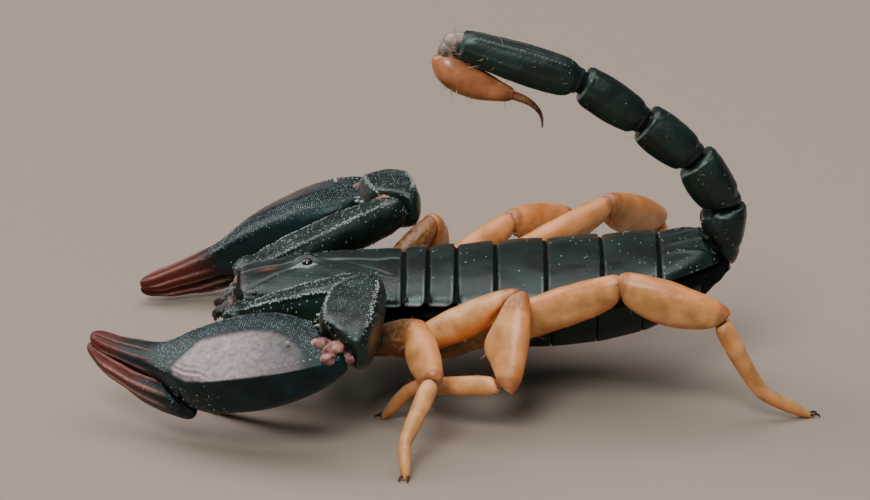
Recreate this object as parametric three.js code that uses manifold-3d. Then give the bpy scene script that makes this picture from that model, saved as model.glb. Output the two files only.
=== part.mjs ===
// A small European wood scorpion, life size, standing with its tail raised over its back.
// Millimetres, +Z up. The head points along -X and the animal's left side faces -Y.
// The origin is on the floor, under the middle of the animal.

import * as THREE from 'three';
import { mergeVertices } from 'three/addons/utils/BufferGeometryUtils.js';
import Module from 'manifold-3d';

const wasm = await Module();
wasm.setup();

// ---- Driving dimensions -------------------------------------------------------------------

const FLOOR = 0;
const JOINT_GAP = 0.08; // clear space between two plates that meet
const KNUCKLE_ROUNDING = 0.45; // how far a bent joint's outer side may reach past its centre
const LEFT = -1; // the sign of Y on each side of the body
const RIGHT = 1;
const SIDES = [['left', LEFT], ['right', RIGHT]];

// Head shield. Each station is [x, half width, height of the side edge, rise of the dome].
const CARAPACE_STATIONS = [
  [-8.15, 1.45, 3.78, 0.5],
  [-8.0, 1.85, 3.74, 0.72],
  [-7.0, 2.28, 3.74, 0.92],
  [-5.6, 2.56, 3.78, 1.08],
  [-4.2, 2.74, 3.84, 1.1],
  [-2.9, 2.86, 3.9, 1.1],
  [-2.15, 2.88, 3.94, 1.06],
  [-2.0, 2.8, 3.96, 0.98],
];

// The pair of middle eyes, and the jaws as [x, distance out, height, half width, half height].
const EYE_X = -5.57;
const EYE_SPREAD = 0.34;
const EYE_Z = 4.86;
const EYE_RADIUS = 0.2;
const CHELICERA_STATIONS = [
  [-8.22, 0.72, 3.3, 0.45, 0.3],
  [-8.34, 0.74, 3.3, 0.6, 0.42],
  [-8.7, 0.74, 3.26, 0.6, 0.46],
  [-9.1, 0.7, 3.15, 0.42, 0.38],
  [-9.4, 0.6, 3.0, 0.16, 0.18],
];

// Back plates: where each one starts and ends, and what the trunk measures there.
const TERGITE_EDGES = [-1.95, -1.05, 0.02, 1.5, 3.38, 5.48, 7.62, 9.95];
const TRUNK_STATIONS = [
  [-2.0, 2.86, 3.95, 1.06],
  [0.0, 3.1, 4.03, 1.1],
  [3.4, 3.28, 4.22, 1.14],
  [5.5, 3.2, 4.45, 1.04],
  [7.6, 2.85, 4.82, 0.86],
  [8.7, 2.25, 5.02, 0.86],
  [9.95, 1.15, 5.16, 0.84],
];
const PLATE_STEP = 0.05; // how far a plate's rear rim stands over the next plate

// Underside of the trunk: [x, half width, height of its top face, height of its lowest line].
const BELLY_STATIONS = [
  [-1.7, 2.3, 3.8, 2.15],
  [-0.6, 2.8, 3.9, 2.0],
  [1.5, 3.02, 4.0, 1.92],
  [3.6, 3.08, 4.12, 1.95],
  [5.6, 2.98, 4.3, 2.15],
  [7.4, 2.66, 4.66, 2.6],
  [8.6, 2.1, 4.86, 3.15],
  [9.5, 1.4, 4.98, 3.75],
  [10.6, 0.8, 5.02, 4.6],
];
const SOCKET_STATIONS = [
  [-7.9, 1.5, 3.64, 2.5],
  [-7.2, 1.95, 3.64, 2.15],
  [-5.8, 2.1, 3.68, 1.95],
  [-4.2, 2.15, 3.74, 1.85],
  [-2.6, 2.25, 3.8, 1.9],
  [-1.85, 2.2, 3.82, 2.1],
];

// Tail: [length, pitch in degrees above +X, height, width] of each ring segment.
const TAIL_ROOT = new THREE.Vector3(9.93, 0, 5.25);
const TAIL_SEGMENTS = [
  [1.78, 83, 1.82, 1.9],
  [2.18, 122.5, 1.86, 1.78],
  [2.42, 142, 1.74, 1.66],
  [2.78, 147, 1.58, 1.54],
  [4.86, 161.5, 1.56, 1.5],
];

// Sting, in the tail's plane, from its root: [x, z, height, width].
const STING_ROOT = new THREE.Vector3(-0.4, 0, 12.92);
const VESICLE_STATIONS = [
  [-0.1, 0.06, 0.68, 0.62],
  [-0.06, -0.14, 1.08, 1.0],
  [0.16, -0.52, 1.36, 1.3],
  [0.7, -0.88, 1.38, 1.38],
  [1.3, -1.16, 1.22, 1.28],
  [1.98, -1.4, 0.86, 0.94],
  [2.6, -1.55, 0.5, 0.54],
];
const ACULEUS_STATIONS = [
  [2.72, -1.58, 0.42, 0.42],
  [3.14, -1.76, 0.3, 0.3],
  [3.5, -2.09, 0.2, 0.2],
  [3.68, -2.43, 0.13, 0.13],
  [3.66, -2.84, 0.05, 0.05],
];

// Pincers: joint places on each side, as [x, distance out from the middle, height].
const PEDIPALP_JOINTS = {
  left: {
    side: LEFT,
    shoulder: [-8.5, 2.35, 3.2],
    elbow: [-3.55, 4.15, 5.0],
    wrist: [-4.1, 8.25, 4.1],
    knuckle: [-10.15, 6.45, 2.3],
    roll: 19,
  },
  right: {
    side: RIGHT,
    shoulder: [-8.3, 2.35, 3.3],
    elbow: [-2.3, 4.85, 5.35],
    wrist: [-2.8, 8.85, 4.85],
    knuckle: [-8.95, 10.5, 1.38],
    roll: -10,
  },
};

// Pincer hand in its own axes: [forward, outward, up, half width, height above, depth below].
const HAND_STATIONS = [
  [-0.2, 0.0, -0.25, 0.5, 0.3, 0.4],
  [0.25, 0.0, -0.15, 0.95, 0.5, 0.75],
  [1.1, 0.05, 0.0, 1.55, 0.78, 1.22],
  [2.4, 0.05, 0.0, 1.94, 1.2, 1.4],
  [4.0, 0.05, 0.0, 1.96, 1.36, 1.38],
  [5.5, 0.0, 0.05, 1.7, 1.26, 1.28],
  [6.4, -0.15, 0.15, 1.3, 1.0, 1.0],
  [7.1, -0.5, 0.45, 0.76, 0.58, 0.66],
  [8.4, -1.08, 0.75, 0.52, 0.44, 0.52],
  [9.5, -1.62, 1.05, 0.4, 0.34, 0.4],
  [10.05, -1.94, 1.3, 0.18, 0.14, 0.2],
];
const FINGER_STATIONS = [
  [6.1, 0.7, -0.75, 0.42, 0.4, 0.4],
  [6.5, 0.5, -0.62, 0.7, 0.62, 0.7],
  [7.4, 0.1, -0.38, 0.64, 0.6, 0.62],
  [8.5, -0.5, -0.1, 0.5, 0.5, 0.5],
  [9.6, -1.15, 0.44, 0.37, 0.34, 0.34],
  [10.25, -1.72, 0.92, 0.16, 0.14, 0.16],
];

// Legs, one entry for each pair: lengths of thigh, patella, shin, ankle and foot, from the hip.
const LEG_LENGTHS = [
  [3.1, 2.4, 1.5, 1.1, 1.1],
  [4.1, 2.75, 1.6, 1.22, 1.25],
  [5.6, 3.12, 2.35, 1.42, 2.0],
  [7.7, 3.85, 1.7, 1.8, 2.25],
];
const LEG_HEIGHTS = [1.15, 1.4, 1.5, 1.72];
const HIPS = [
  [-5.0, 2.3, 2.3],
  [-3.6, 2.5, 2.3],
  [-2.2, 2.6, 2.25],
  [-0.7, 2.75, 2.3],
];
const SHIN_RADII = [0.4, 0.36, 0.31, 0.25];

// Pose of each leg: [swing toward the tail from straight out, pitch] in degrees for each length.
// A foot has no pitch of its own: it comes down to the floor.
const LEG_POSES = {
  left: [
    [[0, 2], [-108, -22], [-122, -30], [-128, -30], [-140]],
    [[34, 23], [14, -22], [-24, -34], [-30, -40], [7]],
    [[60, 28], [-14, -60], [-113, -8], [-120, -12], [-130]],
    [[74, 23], [85, -17], [112, -63], [102, -60], [107]],
  ],
  right: [
    [[5, 5], [-50, -28], [-45, -32], [-20, -15], [-10]],
    [[52, 36], [8, -38], [0, -50], [-5, -45], [-5]],
    [[60, 26], [44, -10], [10, -56], [5, -50], [0]],
    [[67, 22], [36, -22], [36, -64], [18, -68], [-2]],
  ],
};
const TOE_HEIGHT = 0.08; // height of a foot's centre line at its tip
const SOLE_RADIUS = 0.16;

// ---- Small tools --------------------------------------------------------------------------

const vector = (x, y, z) => new THREE.Vector3(x, y, z);
const radians = THREE.MathUtils.degToRad;
const degrees = THREE.MathUtils.radToDeg;
const scorpion = new THREE.Group();

/** Turns a geometry into one closed body with its faces outward. */
function closed(geometry) {
  geometry.deleteAttribute('uv');
  geometry.deleteAttribute('normal');
  const body = mergeVertices(geometry, 1e-5);
  if (volumeOf(body) < 0) {
    const { array } = body.index;
    for (let corner = 0; corner < array.length; corner += 3) {
      [array[corner], array[corner + 1]] = [array[corner + 1], array[corner]];
    }
  }
  body.computeVertexNormals();
  return body;
}

function volumeOf(geometry) {
  const { position } = geometry.attributes;
  const corner = [vector(), vector(), vector()];
  let volume = 0;
  for (let face = 0; face < geometry.index.count; face += 3) {
    corner.forEach((point, k) => point.fromBufferAttribute(position, geometry.index.getX(face + k)));
    volume += corner[0].dot(corner[1].clone().cross(corner[2])) / 6;
  }
  return volume;
}

/** A closed skin through rings of points. Its two poles close the first and the last ring. */
function loft(rings) {
  const sides = rings[0].length;
  const geometry = new THREE.SphereGeometry(1, sides, rings.length + 1);
  const poles = [middleOf(rings[0]), middleOf(rings.at(-1))];
  const rows = [Array(sides).fill(poles[0]), ...rings, Array(sides).fill(poles[1])];
  rows.forEach((row, r) => {
    for (let side = 0; side <= sides; side += 1) {
      const { x, y, z } = row[side % sides];
      geometry.attributes.position.setXYZ(r * (sides + 1) + side, x, y, z);
    }
  });
  return closed(geometry);
}

function middleOf(points) {
  const sum = points.reduce((total, point) => total.add(point), vector(0, 0, 0));
  return sum.divideScalar(points.length);
}

function solidOf(geometry) {
  const mesh = new wasm.Mesh({
    numProp: 3,
    vertProperties: new Float32Array(geometry.attributes.position.array),
    triVerts: new Uint32Array(geometry.index.array),
  });
  return new wasm.Manifold(mesh);
}

function geometryOf(solid) {
  const { vertProperties, triVerts } = solid.getMesh();
  const geometry = new THREE.BufferGeometry();
  geometry.setAttribute('position', new THREE.BufferAttribute(vertProperties, 3));
  geometry.setIndex(new THREE.BufferAttribute(triVerts, 1));
  geometry.computeVertexNormals();
  return geometry;
}

/** Cuts from a piece what it shares with pieces already in place, so that they only touch. */
function clearOf(geometry, neighbours) {
  const cut = neighbours.reduce((rest, name) => {
    const neighbour = scorpion.getObjectByName(name);
    return rest.subtract(solidOf(neighbour.geometry));
  }, solidOf(geometry));
  return geometryOf(cut);
}

/** An oval outline; squareness 2 is an ellipse and more is boxier. */
function oval(halfWidth, halfHeight, sides, squareness = 2) {
  const bend = (value) => Math.sign(value) * Math.abs(value) ** (2 / squareness);
  return Array.from({ length: sides }, (_, k) => {
    const angle = (2 * Math.PI * (k + 0.5)) / sides;
    return [halfWidth * bend(Math.cos(angle)), halfHeight * bend(Math.sin(angle))];
  });
}

/** Lays a flat outline at a place, with its own sideways and upward directions. */
function ring(place, sideways, up, outline) {
  return outline.map(([across, high]) =>
    place.clone().addScaledVector(sideways, across).addScaledVector(up, high));
}

/** Pushes the points that lie past a plane back onto it, along a given direction. */
function trim(rings, plane, along) {
  const slope = plane.normal.dot(along);
  for (const point of rings.flat()) {
    const past = plane.distanceToPoint(point);
    if (past > 0) {
      point.addScaledVector(along, -past / slope);
    }
  }
}

/** The plane that halves the bend between two segments, shifted by half the joint gap. */
function mitre(joint, inward, outward, keepsInner) {
  const normal = inward.clone().add(outward).normalize();
  if (!keepsInner) {
    normal.negate();
  }
  const shifted = joint.clone().addScaledVector(normal, -JOINT_GAP / 2);
  return new THREE.Plane().setFromNormalAndCoplanarPoint(normal, shifted);
}

/** Value of a list of stations at x, straight between its entries. */
function between(stations, x) {
  const next = stations.findIndex((station) => station[0] >= x);
  if (next <= 0) {
    return next === 0 ? stations[0] : stations.at(-1);
  }
  const [low, high] = [stations[next - 1], stations[next]];
  const share = (x - low[0]) / (high[0] - low[0]);
  return low.map((value, k) => value + (high[k] - value) * share);
}

// ---- Limbs --------------------------------------------------------------------------------

/**
 * One straight limb segment between two joints. The profile lists
 * [share of the length, half thickness, half height], and the blade direction is its tall side.
 * Each line along the segment is stretched or shortened to end on the cut planes.
 */
function segment(from, to, blade, profile, cuts, sides, squareness) {
  const along = to.clone().sub(from).normalize();
  const sideways = along.clone().cross(blade).normalize();
  const up = sideways.clone().cross(along).normalize();
  const length = from.distanceTo(to);
  const widest = Math.max(...profile.map((stop) => stop[1]));
  const highest = Math.max(...profile.map((stop) => stop[2]));
  const bulge = KNUCKLE_ROUNDING * highest;
  const outline = (thick, high) => ring(from, sideways, up, oval(thick, high, sides, squareness));
  const cutAt = (point, plane, plain) => (plane ? reach(point, along, plane) : plain);
  const spans = outline(widest, highest).map((point) => [
    Math.max(cutAt(point, cuts.start, 0), -bulge),
    Math.min(cutAt(point, cuts.end, length), length + bulge),
  ]);
  const rings = profile.map(([share, thick, high]) => outline(thick, high).map((point, line) =>
    point.addScaledVector(along, THREE.MathUtils.lerp(...spans[line], share))));
  for (const plane of [cuts.start, cuts.end].filter(Boolean)) {
    trim(rings, plane, along);
  }
  return rings;
}

/** How far a point travels along a direction before it meets a plane. */
function reach(point, along, plane) {
  return -plane.distanceToPoint(point) / plane.normal.dot(along);
}

/** Unit direction of each stretch of a chain of joints. */
function directions(joints) {
  return joints.slice(1).map((joint, k) => joint.clone().sub(joints[k]).normalize());
}

const bodyPoint = (side, [x, out, z]) => vector(x, side * out, z);

// ---- Materials ----------------------------------------------------------------------------

const finish = (color, roughness) =>
  new THREE.MeshStandardMaterial({ color, roughness, metalness: 0 });
const shellMaterial = () => finish(0x16201f, 0.35);
const softMaterial = () => finish(0x1a1f1d, 0.6);
const legMaterial = () => finish(0xd9924f, 0.45);
const stingMaterial = () => finish(0xc4763a, 0.3);
const pointMaterial = () => finish(0x2a0f0a, 0.25);
const eyeMaterial = () => finish(0x05070a, 0.08);
const fingerMaterial = () => finish(0x5a1c1c, 0.35);
const jawMaterial = () => finish(0x8a5a4a, 0.45);

function addPiece(name, geometry, material) {
  const piece = new THREE.Mesh(geometry, material);
  piece.name = name;
  scorpion.add(piece);
  return piece;
}

// ---- Trunk --------------------------------------------------------------------------------

const BACKWARD = vector(1, 0, 0);
const UPWARD = vector(0, 0, 1);
const SIDEWAYS = vector(0, 1, 0);

const DOME_STEPS = 12;
const DOME_FULLNESS = 0.85; // below 1 the dome's shoulders are fuller than an ellipse's
const FLAT_STEPS = 4;

/** Outline of a domed plate: over the back in an arc, and flat underneath. */
function domeOutline(halfWidth, edge, rise) {
  const outline = [];
  for (let step = 0; step <= DOME_STEPS; step += 1) {
    const angle = (Math.PI * step) / DOME_STEPS;
    outline.push([halfWidth * Math.cos(angle), edge + rise * Math.sin(angle) ** DOME_FULLNESS]);
  }
  for (let step = 1; step < FLAT_STEPS; step += 1) {
    outline.push([-halfWidth + (2 * halfWidth * step) / FLAT_STEPS, edge]);
  }
  return outline;
}

function domedPlate(stations) {
  return stations.map(([x, halfWidth, edge, rise]) =>
    ring(vector(x, 0, 0), SIDEWAYS, UPWARD, domeOutline(halfWidth, edge, rise)));
}

const KEEL_STEPS = 10;
const FLANK_FULLNESS = 0.6;
const KEEL_FULLNESS = 0.75;

/** Outline of an underside: flat on top, rounded below, with a fold at the flank. */
function keelOutline(halfWidth, top, bottom) {
  const outline = [];
  for (let step = 0; step <= KEEL_STEPS; step += 1) {
    const angle = (Math.PI * step) / KEEL_STEPS;
    const toSide = Math.sign(Math.cos(angle)) * Math.abs(Math.cos(angle)) ** FLANK_FULLNESS;
    outline.push([-halfWidth * toSide, top - (top - bottom) * Math.sin(angle) ** KEEL_FULLNESS]);
  }
  for (let step = 1; step < FLAT_STEPS; step += 1) {
    outline.push([halfWidth - (2 * halfWidth * step) / FLAT_STEPS, top]);
  }
  return outline;
}

function underside(stations) {
  return stations.map(([x, halfWidth, top, bottom]) =>
    ring(vector(x, 0, 0), SIDEWAYS, UPWARD, keelOutline(halfWidth, top, bottom)));
}

/** The oblique plane where the last trunk segment meets the raised tail. */
function tailJoint(keepsTrunk) {
  const tailDirection = directionAt(TAIL_SEGMENTS[0][1]);
  return mitre(TAIL_ROOT, BACKWARD, tailDirection, keepsTrunk);
}

function directionAt(pitch) {
  return vector(Math.cos(radians(pitch)), 0, Math.sin(radians(pitch)));
}

function addCarapace() {
  addPiece('carapace', loft(domedPlate(CARAPACE_STATIONS)), shellMaterial());
}

/** Along a back plate: [share of its length, change of rise, share of the trunk's width]. */
const PLATE_PROFILE = [
  [0, -0.12, 0.98], [0.1, -PLATE_STEP, 1], [0.5, 0, 1], [0.9, PLATE_STEP, 0.995], [1, 0, 0.96],
];

function addTergites() {
  for (let number = 1; number < TERGITE_EDGES.length; number += 1) {
    const start = TERGITE_EDGES[number - 1] + JOINT_GAP / 2;
    const end = TERGITE_EDGES[number] - JOINT_GAP / 2;
    const rings = domedPlate(PLATE_PROFILE.map(([share, lift, narrowing]) => {
      const x = start + (end - start) * share;
      const [, halfWidth, edge, rise] = between(TRUNK_STATIONS, x);
      return [x, halfWidth * narrowing, edge, rise + lift];
    }));
    if (number === TERGITE_EDGES.length - 1) {
      trim(rings, tailJoint(true), BACKWARD);
    }
    addPiece(`tergite_${number}`, loft(rings), shellMaterial());
  }
}

function addUnderside() {
  const belly = underside(BELLY_STATIONS);
  trim(belly, tailJoint(true), BACKWARD);
  addPiece('belly', loft(belly), softMaterial());
  addPiece('coxae', loft(underside(SOCKET_STATIONS)), softMaterial());
}

// ---- Eyes and jaws ------------------------------------------------------------------------

function addEyes() {
  for (const [name, side] of SIDES) {
    const ball = new THREE.SphereGeometry(EYE_RADIUS, 12, 10);
    ball.translate(EYE_X, side * EYE_SPREAD, EYE_Z);
    addPiece(`median_eye_${name}`, clearOf(closed(ball), ['carapace']), eyeMaterial());
  }
}

function addChelicerae() {
  for (const [name, side] of SIDES) {
    const rings = CHELICERA_STATIONS.map(([x, out, z, halfWidth, halfHeight]) =>
      ring(vector(x, side * out, z), SIDEWAYS, UPWARD, oval(halfWidth, halfHeight, 10)));
    addPiece(`chelicera_${name}`, loft(rings), jawMaterial());
  }
}

// ---- Tail ---------------------------------------------------------------------------------

/** Along a tail ring: [share of its length, share of its full size]. */
const RING_PROFILE = [
  [0, 0.5], [0, 0.74], [0.18, 0.9], [0.42, 1], [0.72, 1.01], [0.93, 0.95], [1, 0.84], [1, 0.6],
];
const LAST_RING_PROFILE = [
  [0, 0.45], [0, 0.68], [0.1, 0.9], [0.25, 1], [0.5, 1], [0.85, 0.82], [0.98, 0.74], [1, 0.5],
];
const RING_SIDES = 12;
const RING_SQUARENESS = 2.6;

function addTail() {
  let root = TAIL_ROOT.clone();
  let joint = tailJoint(false);
  TAIL_SEGMENTS.forEach(([length, pitch, height, width], index) => {
    const along = directionAt(pitch);
    const tip = root.clone().addScaledVector(along, length);
    const isLast = index === TAIL_SEGMENTS.length - 1;
    const next = isLast ? along : directionAt(TAIL_SEGMENTS[index + 1][1]);
    const profile = (isLast ? LAST_RING_PROFILE : RING_PROFILE).map(([share, size]) =>
      [share, (width / 2) * size, (height / 2) * size]);
    const cuts = { start: joint, end: mitre(tip, along, next, true) };
    const blade = vector(-along.z, 0, along.x);
    const rings = segment(root, tip, blade, profile, cuts, RING_SIDES, RING_SQUARENESS);
    addPiece(`tail_segment_${index + 1}`, loft(rings), shellMaterial());
    joint = mitre(tip, along, next, false);
    root = tip;
  });
}

/** A curved horn in the tail's plane. */
function stingPart(stations) {
  const places = stations.map(([x, z]) => STING_ROOT.clone().add(vector(x, 0, z)));
  return stations.map(([, , height, width], k) => {
    const before = places[Math.max(k - 1, 0)];
    const after = places[Math.min(k + 1, places.length - 1)];
    const along = after.clone().sub(before).normalize();
    const up = vector(-along.z, 0, along.x);
    return ring(places[k], SIDEWAYS, up, oval(width / 2, height / 2, 12));
  });
}

function addSting() {
  const vesicle = clearOf(loft(stingPart(VESICLE_STATIONS)), ['tail_segment_5']);
  addPiece('telson_vesicle', vesicle, stingMaterial());
  addPiece('telson_aculeus', loft(stingPart(ACULEUS_STATIONS)), pointMaterial());
}

// ---- Pincers ------------------------------------------------------------------------------

/** Along an arm: [share of its length, half thickness, half height]. */
const UPPER_ARM_PROFILE = [
  [0.0, 0.4, 0.4], [0.03, 0.68, 0.64], [0.1, 0.78, 0.72], [0.17, 0.6, 0.56], [0.26, 0.72, 0.66],
  [0.55, 0.88, 0.72], [0.85, 0.86, 0.76], [0.97, 0.76, 0.7], [1.0, 0.5, 0.45],
];
const FOREARM_PROFILE = [
  [0.0, 0.6, 0.5], [0.03, 0.95, 0.78], [0.16, 1.12, 0.92], [0.45, 1.2, 1.0], [0.75, 1.2, 1.02],
  [0.96, 1.06, 0.92], [1.0, 0.6, 0.55],
];
const ARM_SIDES = 12;
const ARM_SQUARENESS = 3;

/** Keels and flats of the hand, as shares of its half width and of its height or depth. */
const HAND_OUTLINE = [
  [0.93, 0.66], [0.5, 0.85], [0.02, 1.06], [-0.78, 1.12], [-1.0, 0.8], [-1.04, 0.15],
  [-0.92, -0.45], [-0.6, -0.84], [0.0, -1.0], [0.6, -0.86], [0.9, -0.46], [0.94, 0.04],
];

function handRings(side, stations, swell = 0) {
  return stations.map(([forward, outward, high, halfWidth, above, below]) => {
    const outline = HAND_OUTLINE.map(([across, up]) =>
      [across * (halfWidth + swell), up * ((up > 0 ? above : below) + swell)]);
    return ring(vector(forward, -side * outward, high), vector(0, -side, 0), UPWARD, outline);
  });
}

/** Axes of a hand: forward along the palm, left across it, and up out of its rolled upper face. */
function handFrame(side, wrist, knuckle, roll) {
  const forward = knuckle.clone().sub(wrist).normalize();
  const level = UPWARD.clone().cross(forward).normalize();
  const across = level.applyAxisAngle(forward, radians(roll) * side);
  const up = forward.clone().cross(across);
  return new THREE.Matrix4().makeBasis(forward, across, up).setPosition(wrist);
}

function addArm(name, joints, along) {
  const elbow = [true, false].map((inner) => mitre(joints[1], along[0], along[1], inner));
  const wrist = mitre(joints[2], along[1], along[2], true);
  const shape = (from, to, profile, cuts) =>
    loft(segment(from, to, UPWARD, profile, cuts, ARM_SIDES, ARM_SQUARENESS));
  const upperArm = shape(joints[0], joints[1], UPPER_ARM_PROFILE, { end: elbow[0] });
  const forearm = shape(joints[1], joints[2], FOREARM_PROFILE, { start: elbow[1], end: wrist });
  addPiece(`pedipalp_femur_${name}`, clearOf(upperArm, ['carapace']), shellMaterial());
  addPiece(`pedipalp_patella_${name}`, forearm, shellMaterial());
}

/** The hand with its fixed finger, and the movable finger, which is cut to fit round the hand. */
function addHand(name, side, frame, wristCut) {
  const rings = handRings(side, HAND_STATIONS);
  trim(rings, wristCut, vector(1, 0, 0));
  const clearance = solidOf(loft(handRings(side, HAND_STATIONS, JOINT_GAP)));
  const finger = solidOf(loft(handRings(side, FINGER_STATIONS))).subtract(clearance);
  addPiece(`pedipalp_hand_${name}`, loft(rings), shellMaterial()).applyMatrix4(frame);
  addPiece(`pedipalp_finger_${name}`, geometryOf(finger), fingerMaterial()).applyMatrix4(frame);
}

function addPedipalp(name, { side, shoulder, elbow, wrist, knuckle, roll }) {
  const joints = [shoulder, elbow, wrist, knuckle].map((place) => bodyPoint(side, place));
  const along = directions(joints);
  addArm(name, joints, along);
  const frame = handFrame(side, joints[2], joints[3], roll);
  const wristCut = mitre(joints[2], along[1], along[2], false);
  addHand(name, side, frame, wristCut.applyMatrix4(frame.clone().invert()));
}

// ---- Legs ---------------------------------------------------------------------------------

const THIGH_PROFILE = [
  [0.0, 0.3, 0.35], [0.03, 0.46, 0.56], [0.12, 0.5, 0.66], [0.2, 0.42, 0.6], [0.28, 0.48, 0.78],
  [0.55, 0.52, 1], [0.84, 0.5, 0.96], [0.97, 0.42, 0.72], [1.0, 0.25, 0.45],
];
const PATELLA_PROFILE = [
  [0.0, 0.28, 0.45], [0.04, 0.46, 0.76], [0.22, 0.58, 1.02], [0.5, 0.6, 1.12], [0.76, 0.54, 0.98],
  [0.95, 0.42, 0.7], [1.0, 0.24, 0.42],
];

const LEG_NEIGHBOURS = [
  'coxae', 'belly', 'carapace', 'tergite_1', 'tergite_2', 'tergite_3', 'tergite_4', 'tergite_5',
];
const LEG_SIDES = 10;
const LEG_SQUARENESS = 2.2;
const REFERENCE_HALF_HEIGHT = 0.7; // the half height at which the thicknesses below are true

/** Shin, ankle and foot: [stretch, share of that stretch, share of the radius there]. */
const FOOT_STOPS = [
  [0, 0.04, 0.7], [0, 0.2, 1], [0, 0.75, 1.0], [1, 0.1, 0.95],
  [1, 0.85, 0.9], [2, 0.12, 0.9], [2, 0.75, 0.9],
];

/** Direction of a leg stretch from its swing toward the tail and its pitch, in degrees. */
function legDirection(side, swing, pitch) {
  const level = Math.cos(radians(pitch));
  return vector(
    Math.sin(radians(swing)) * level,
    side * Math.cos(radians(swing)) * level,
    Math.sin(radians(pitch)),
  );
}

function legJoints(side, hip, lengths, pose) {
  const joints = [bodyPoint(side, hip)];
  lengths.forEach((length, k) => {
    const from = joints.at(-1);
    const toFloor = degrees(Math.asin((TOE_HEIGHT - from.z) / length));
    const [swing, pitch = toFloor] = pose[k];
    joints.push(from.clone().addScaledVector(legDirection(side, swing, pitch), length));
  });
  return joints;
}

/** Shin, ankle and foot in one bent tube that ends in a small flat sole. */
function footRings(joints, plane) {
  const along = directions(joints);
  const rings = FOOT_STOPS.map(([part, share, size]) => {
    const sideways = along[part].clone().cross(UPWARD).normalize();
    const up = sideways.clone().cross(along[part]);
    const radius = THREE.MathUtils.lerp(SHIN_RADII[part], SHIN_RADII[part + 1], share) * size;
    const place = joints[part].clone().lerp(joints[part + 1], share);
    return ring(place, sideways, up, oval(radius, radius * 1.1, 8));
  });
  trim(rings, plane, along[0]);
  for (const point of rings.flat()) {
    point.z = Math.max(point.z, FLOOR);
  }
  const toe = joints.at(-1).clone().setZ(FLOOR);
  const sideways = along[2].clone().cross(UPWARD).normalize();
  const ahead = UPWARD.clone().cross(sideways);
  rings.push(ring(toe, sideways, ahead, oval(SOLE_RADIUS, SOLE_RADIUS, 8)));
  return rings;
}

function addLeg(name, side, pair) {
  const joints = legJoints(side, HIPS[pair], LEG_LENGTHS[pair], LEG_POSES[name][pair]);
  const along = directions(joints);
  const bend = along[0].clone().cross(along[1]).normalize();
  const halfHeight = LEG_HEIGHTS[pair] / 2;
  const sturdiness = Math.sqrt(halfHeight / REFERENCE_HALF_HEIGHT);
  const cut = (k, inner) => mitre(joints[k], along[k - 1], along[k], inner);
  const shape = (k, profile, cuts) => {
    const scaled = profile.map(([share, thick, high]) => [share, thick * sturdiness, high * halfHeight]);
    const blade = bend.clone().cross(along[k]);
    return loft(segment(joints[k], joints[k + 1], blade, scaled, cuts, LEG_SIDES, LEG_SQUARENESS));
  };
  const thigh = shape(0, THIGH_PROFILE, { end: cut(1, true) });
  const patella = shape(1, PATELLA_PROFILE, { start: cut(1, false), end: cut(2, true) });
  const foot = loft(footRings(joints.slice(2), cut(2, false)));
  const inFront = pair > 0 ? [`leg_${pair}_femur_${name}`] : [];
  const neighbours = [...LEG_NEIGHBOURS, ...inFront];
  addPiece(`leg_${pair + 1}_femur_${name}`, clearOf(thigh, neighbours), legMaterial());
  addPiece(`leg_${pair + 1}_patella_${name}`, patella, legMaterial());
  addPiece(`leg_${pair + 1}_foot_${name}`, foot, legMaterial());
}

/** Moves every piece so that the origin is on the floor under the middle of the animal. */
function centreOnFloor() {
  scorpion.updateMatrixWorld(true);
  const box = new THREE.Box3().setFromObject(scorpion, true);
  const middle = box.getCenter(vector());
  for (const piece of scorpion.children) {
    piece.position.sub(vector(middle.x, middle.y, FLOOR));
  }
}

// ---- The whole animal ---------------------------------------------------------------------

addCarapace();
addTergites();
addUnderside();
addEyes();
addChelicerae();
addTail();
addSting();
addPedipalp('left', PEDIPALP_JOINTS.left);
addPedipalp('right', PEDIPALP_JOINTS.right);
for (let pair = 0; pair < HIPS.length; pair += 1) {
  addLeg('left', LEFT, pair);
  addLeg('right', RIGHT, pair);
}
centreOnFloor();

export default scorpion;
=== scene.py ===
import math
import random

import bmesh
import bpy
from mathutils import Matrix, Quaternion, Vector, noise
from mathutils.bvhtree import BVHTree


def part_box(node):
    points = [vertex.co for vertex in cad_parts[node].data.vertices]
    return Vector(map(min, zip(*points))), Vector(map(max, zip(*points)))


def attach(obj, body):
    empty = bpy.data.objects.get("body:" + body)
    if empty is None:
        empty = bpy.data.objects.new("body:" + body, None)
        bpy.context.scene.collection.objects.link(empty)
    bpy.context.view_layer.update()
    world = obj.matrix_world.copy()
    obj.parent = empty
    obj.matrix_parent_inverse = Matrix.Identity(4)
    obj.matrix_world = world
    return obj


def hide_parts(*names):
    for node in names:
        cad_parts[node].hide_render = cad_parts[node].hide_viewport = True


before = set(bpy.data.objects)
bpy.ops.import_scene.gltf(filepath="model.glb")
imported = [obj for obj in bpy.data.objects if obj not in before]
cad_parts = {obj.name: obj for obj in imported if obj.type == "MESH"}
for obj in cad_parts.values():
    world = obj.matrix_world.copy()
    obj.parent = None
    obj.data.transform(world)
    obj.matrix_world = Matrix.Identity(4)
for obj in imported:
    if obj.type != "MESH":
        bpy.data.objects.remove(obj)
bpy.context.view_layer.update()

# ---- Camera --------------------------------------------------------------------------------
# A long lens looks down a little on the animal's left side, with the head to the left.

MM = 0.001
LOOK_AT = Vector((-0.675, -0.589, 5.28)) * MM
CAMERA_DISTANCE = 200 * MM
CAMERA_ELEVATION = math.radians(18)
LENS = 219.3

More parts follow.
